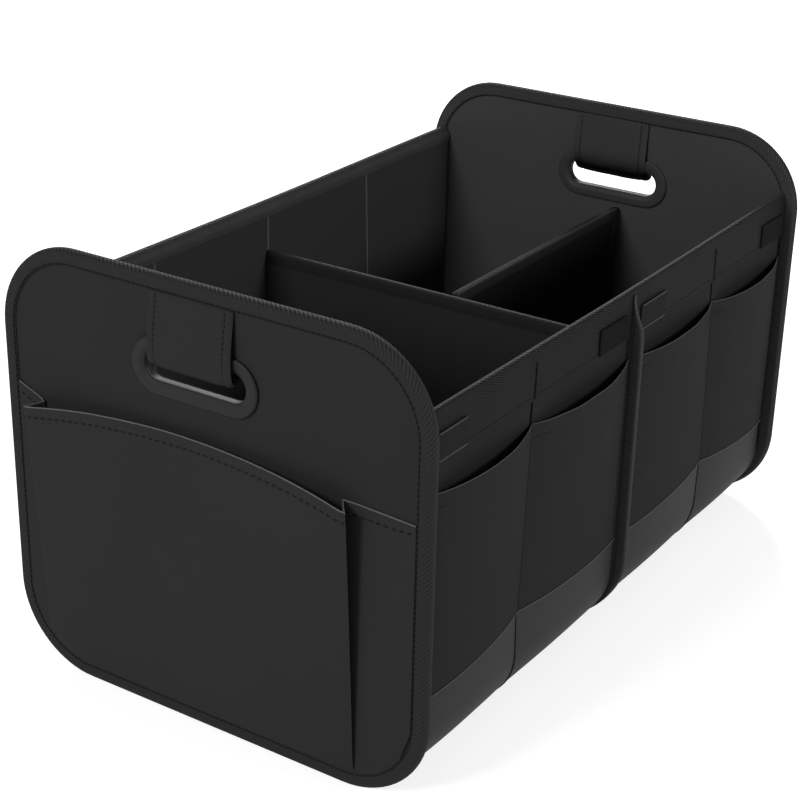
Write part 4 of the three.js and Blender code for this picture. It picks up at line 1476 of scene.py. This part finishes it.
SEAM_SUNK = 1.0
SEAM_PLAY = 0.7
SEAM_LEAST = 1.0
SEAM_STEP = 5.0
SEAM_OVER_BAND = 1.6
SEAM_TOP_TAPER = 34
SEAM_FOOT_TAPER = 60


def make_middle_seam():
    """The bound seam that stands proud round the middle, and narrows under the floor."""
    half = (seam_high[0] - seam_low[0]) / 2 - SEAM_PLAY
    line = trough_line(
        WALL_FACE + SEW_GAP, FLOOR_UNDER - SEW_GAP, TROUGH_CORNER + SEW_GAP, seam_high[2], SEAM_STEP
    )
    straight = PANEL_HALF - PANEL_CORNER
    beyond = stack(np.maximum(np.abs(line[:, 0]) - straight, 0), np.maximum(PANEL_CORNER - line[:, 1], 0))
    reach = np.hypot(beyond[:, 0], beyond[:, 1])
    out = beyond / reach[:, None] * stack(np.sign(line[:, 0]), -np.ones(len(line)))
    start_out = smooth_step((line[:, 1] - band_low[2] + 2) / 4) * SEAM_OVER_BAND
    top_taper = smooth_step((seam_high[2] - line[:, 1]) / SEAM_TOP_TAPER) ** 1.3
    taper = top_taper * smooth_step((line[:, 1] - 4) / SEAM_FOOT_TAPER)
    least_out = start_out + SEAM_LEAST
    end_out = least_out + (PANEL_CORNER - reach - least_out) * taper
    nose = [(half * math.cos(a), 1 - 0.2 + 0.2 * math.sin(a)) for a in np.linspace(0, math.pi, 9)]
    flat_side = [(half - 0.1, 0.3), (half, 0.55)]
    other_side = [(-u, share) for u, share in reversed(flat_side)]
    section = np.array([(-half + 0.6, 0.0), (half - 0.6, 0.0), *flat_side, *nose, *other_side])
    base = start_out[:, None] + (end_out - start_out)[:, None] * section[None, :, 1]
    base = base - SEAM_SUNK * (section[None, :, 1] == 0)
    across = line[:, None, 0] + out[:, None, 0] * base
    up = line[:, None, 1] + out[:, None, 1] * base
    narrow = 0.75 + 0.25 * taper[:, None]
    points = stack(section[None, :, 0] * narrow, across, up)
    wobble = ripple(points[:, :1], SEAM_WAVE, 8) * 0.6
    points[..., 0] += wobble
    skin = Skin()
    skin.tube(points, run_of(np.concatenate([points, points[:, :1]], axis=1)))
    skin.build("middle_seam_tape", SEAM_TAPE, "edge_tape", "middle_seam_binding")
    thread = Skin()
    on_face = start_out + (end_out - start_out) * 0.3
    for sign in (-1, 1):
        row = stack(sign * half * narrow[:, 0] + wobble[:, 0], line[:, 0], line[:, 1])
        row[:, 1:] += out * on_face[:, None]
        stitches(thread, row, np.array([float(sign), 0.0, 0.0]), SEAM_STITCH)
    thread.build("middle_seam_stitches", THREAD_AND_SHADE_CORDS, "edge_tape")


# Dividers and base boards

def folded_tape(length_line, section_half, drop, top, thick, turn_points):
    """Tape folded over a straight top edge. length_line gives the places along the edge."""
    outer = section_half - thick / 2
    angles = np.linspace(math.pi, 0, 9)
    legs = np.linspace(top - drop, top - outer - thick / 2, 6)[:-1]
    side = np.concatenate([np.full(5, -outer), outer * np.cos(angles), np.full(5, outer)])
    height = np.concatenate([legs, top - outer - thick / 2 + outer * np.sin(angles), legs[::-1]])
    return turn_points(length_line[:, None], side[None, :], height[None, :])


def folded_sleeve(along, bottom, top, half, thick, turn_points, seed):
    """A cloth sleeve folded over the top of a board. bottom gives the lower edge at each place."""
    middle = half - thick / 2
    rise = np.linspace(0, 1, 22)
    side = np.concatenate([np.full(22, -middle), [0], np.full(22, middle)])
    share = np.concatenate([rise, [1.0], rise[::-1]])
    height = bottom[:, None] + (top - thick / 2 - bottom)[:, None] * share[None, :]
    spread = 0 * height + side[None, :]
    flat = stack(along[:, None], spread, height)
    waves = (ripple(flat, SLEEVE_WAVE, seed) * 0.5 + 0.5) * 0.9 * smooth_step((1 - share) * 12)[None, :]
    spread = spread + np.sign(spread) * waves
    return turn_points(along[:, None], spread, height)


def make_middle_divider():
    """The divider across the box: its sleeve, the tape on its top edge, and the stitches."""
    thick = DIVIDER_CLOTH_THICK
    across = np.sin(np.linspace(-math.pi / 2, math.pi / 2, 61)) * middle_high[1]
    radius = LINING_CORNER - thick - SEW_GAP
    beyond = np.maximum(0, np.abs(across) - (middle_high[1] - radius))
    bottom = middle_low[2] + radius - np.sqrt(np.maximum(radius**2 - beyond**2, 0))

    def place(along, side, height):
        return stack(side, along, height)

    sleeve = folded_sleeve(across, bottom, middle_high[2], middle_high[0], thick, place, 21)
    piece = cloth_piece(
        sleeve, thick, "middle_divider_sleeve", DIVIDER_CLOTH, "lining_cloth", "middle_divider_cover"
    )
    along = np.linspace(middle_tape_low[1], middle_tape_high[1], 70)
    drop = middle_tape_high[2] - middle_tape_low[2]
    tape = folded_tape(along, middle_tape_high[0], drop, middle_tape_high[2], thick, place)
    cloth_piece(tape, thick, "middle_divider_tape", DIVIDER_TAPE, "edge_tape", "middle_divider_binding")
    thread = Skin()
    for sign in (-1, 1):
        line = place(along, sign * (middle_tape_high[0] + 0.05), middle_tape_low[2] + 2.2)
        stitches(thread, line, np.array([float(sign), 0.0, 0.0]))
    thread.build("middle_divider_stitches", THREAD_AND_SHADE_CORDS, "edge_tape")


def make_long_divider():
    """The divider along the far half: its sleeve, the tape round its edge, and the stitches."""
    thick = DIVIDER_CLOTH_THICK
    middle = (long_low[1] + long_high[1]) / 2
    half = (long_high[1] - long_low[1]) / 2
    cover_half = (long_cover_high[1] - long_cover_low[1]) / 2

    def place(along, side, height):
        return stack(along, side + middle, height)

    along = np.linspace(long_cover_low[0], long_cover_high[0], 60)
    bottom = np.full(len(along), long_cover_low[2])
    sleeve = folded_sleeve(along, bottom, long_cover_high[2], cover_half, thick, place, 31)
    piece = cloth_piece(
        sleeve, thick, "long_divider_sleeve", LONG_DIVIDER_CLOTH, "lining_cloth", "long_divider_cover"
    )
    corner, step = 6.0, 6.0
    loop = Loop(long_low[0], long_high[0], long_low[2], long_high[2], corner, step)
    section = tape_section(-half, half, 11.0, thick, 3.0, 0.15)
    tape = ring_skin(loop, section, lambda u, v, d: place(u, d, v))
    tape.build("long_divider_tape", DIVIDER_TAPE, "edge_tape", "long_divider_binding")
    thread = Skin()
    line = loop.line(-9.0)
    line = np.concatenate([line, line[:1]])
    for sign in (-1, 1):
        points = place(line[:, 0], sign * (half + 0.15), line[:, 1])
        stitches(thread, points, np.array([0.0, float(sign), 0.0]))
    thread.build("long_divider_stitches", THREAD_AND_SHADE_CORDS, "edge_tape")


def make_base_boards():
    """Cloth-covered boards with soft edges."""
    for name in ("near", "far"):
        low, high = box_of(f"base_board_{name}")
        thick = high[2] - low[2]
        loop = Loop(low[0], high[0], low[1], high[1], 4.0, 9.0)
        half = (high[1] - low[1]) / 2
        profile = [
            (-half * 0.97, 0), (-half * 0.5, 0), (-2, 0), (-0.7, 0.3), (0, thick * 0.3),
            (0, thick * 0.7), (-0.7, thick - 0.3), (-2, thick), (-half * 0.25, thick),
            (-half * 0.6, thick), (-half * 0.97, thick),
        ]
        points = carried(loop, profile, lambda u, v, up: stack(u, v, low[2] + up))
        skin = Skin()
        flat_run = points[..., :2]
        skin.shell(points, np.concatenate([flat_run, flat_run[:1]]))
        skin.build(f"covered_base_board_{name}", LINING_CLOTH, "lining_cloth", f"base_board_{name}")


def same(points):
    return points


for end, end_turn, seed in (("near", same, 1), ("far", turned, 2)):
    make_end(end, end_turn, seed)
make_wall("right", same, 5)
make_wall("left", turned, 6)
make_troughs()
make_middle_seam()
make_middle_divider()
make_long_divider()
make_base_boards()
for node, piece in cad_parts.items():
    if "board" in node:
        piece.data.materials.clear()
        piece.data.materials.append(STIFF_BOARD)


# Floor, world and lights

FLOOR_REACH = 30
FLOOR_GLOW = 0.69
WORLD_GLOW = 0.4
WHITE = (1, 1, 1, 1)


def make_floor():
    mesh = bpy.data.meshes.new("floor")
    corners = [(FLOOR_REACH * x, FLOOR_REACH * y, 0) for x, y in ((-1, -1), (1, -1), (1, 1), (-1, 1))]
    mesh.from_pydata(corners, [], [(0, 1, 2, 3)])
    finish = Finish("pale_floor")
    glow = {"Emission_Color": WHITE, "Emission_Strength": FLOOR_GLOW}
    mesh.materials.append(finish.surface(grey(0.4), 0.9, Specular_IOR_Level=0.1, **glow))
    floor = bpy.data.objects.new("floor", mesh)
    bpy.context.scene.collection.objects.link(floor)


def area_light(name, place, target, size, power):
    data = bpy.data.lights.new(name, "AREA")
    data.shape = "DISK"
    data.size = size
    data.energy = power
    light = bpy.data.objects.new(name, data)
    light.location = place
    light.rotation_euler = (Vector(target) - Vector(place)).to_track_quat("-Z", "Y").to_euler()
    bpy.context.scene.collection.objects.link(light)


def light_studio():
    world = bpy.data.worlds.new("studio")
    world.use_nodes = True
    background = world.node_tree.nodes["Background"]
    background.inputs["Color"].default_value = WHITE
    background.inputs["Strength"].default_value = WORLD_GLOW
    bpy.context.scene.world = world
    area_light("back_softbox", place=(2.3, 1.5, 1.9), target=(0, 0, 0.2), size=1.2, power=130)
    area_light("end_softbox", place=(-2.7, 0.45, 1.75), target=(-0.1, 0, 0.2), size=0.9, power=82)
    area_light("side_softbox", place=(0.3, -2.7, 1.3), target=(0, 0, 0.2), size=0.8, power=62)
    view = bpy.context.scene.view_settings
    view.view_transform = "Standard"
    view.look = "None"


make_floor()
light_studio()
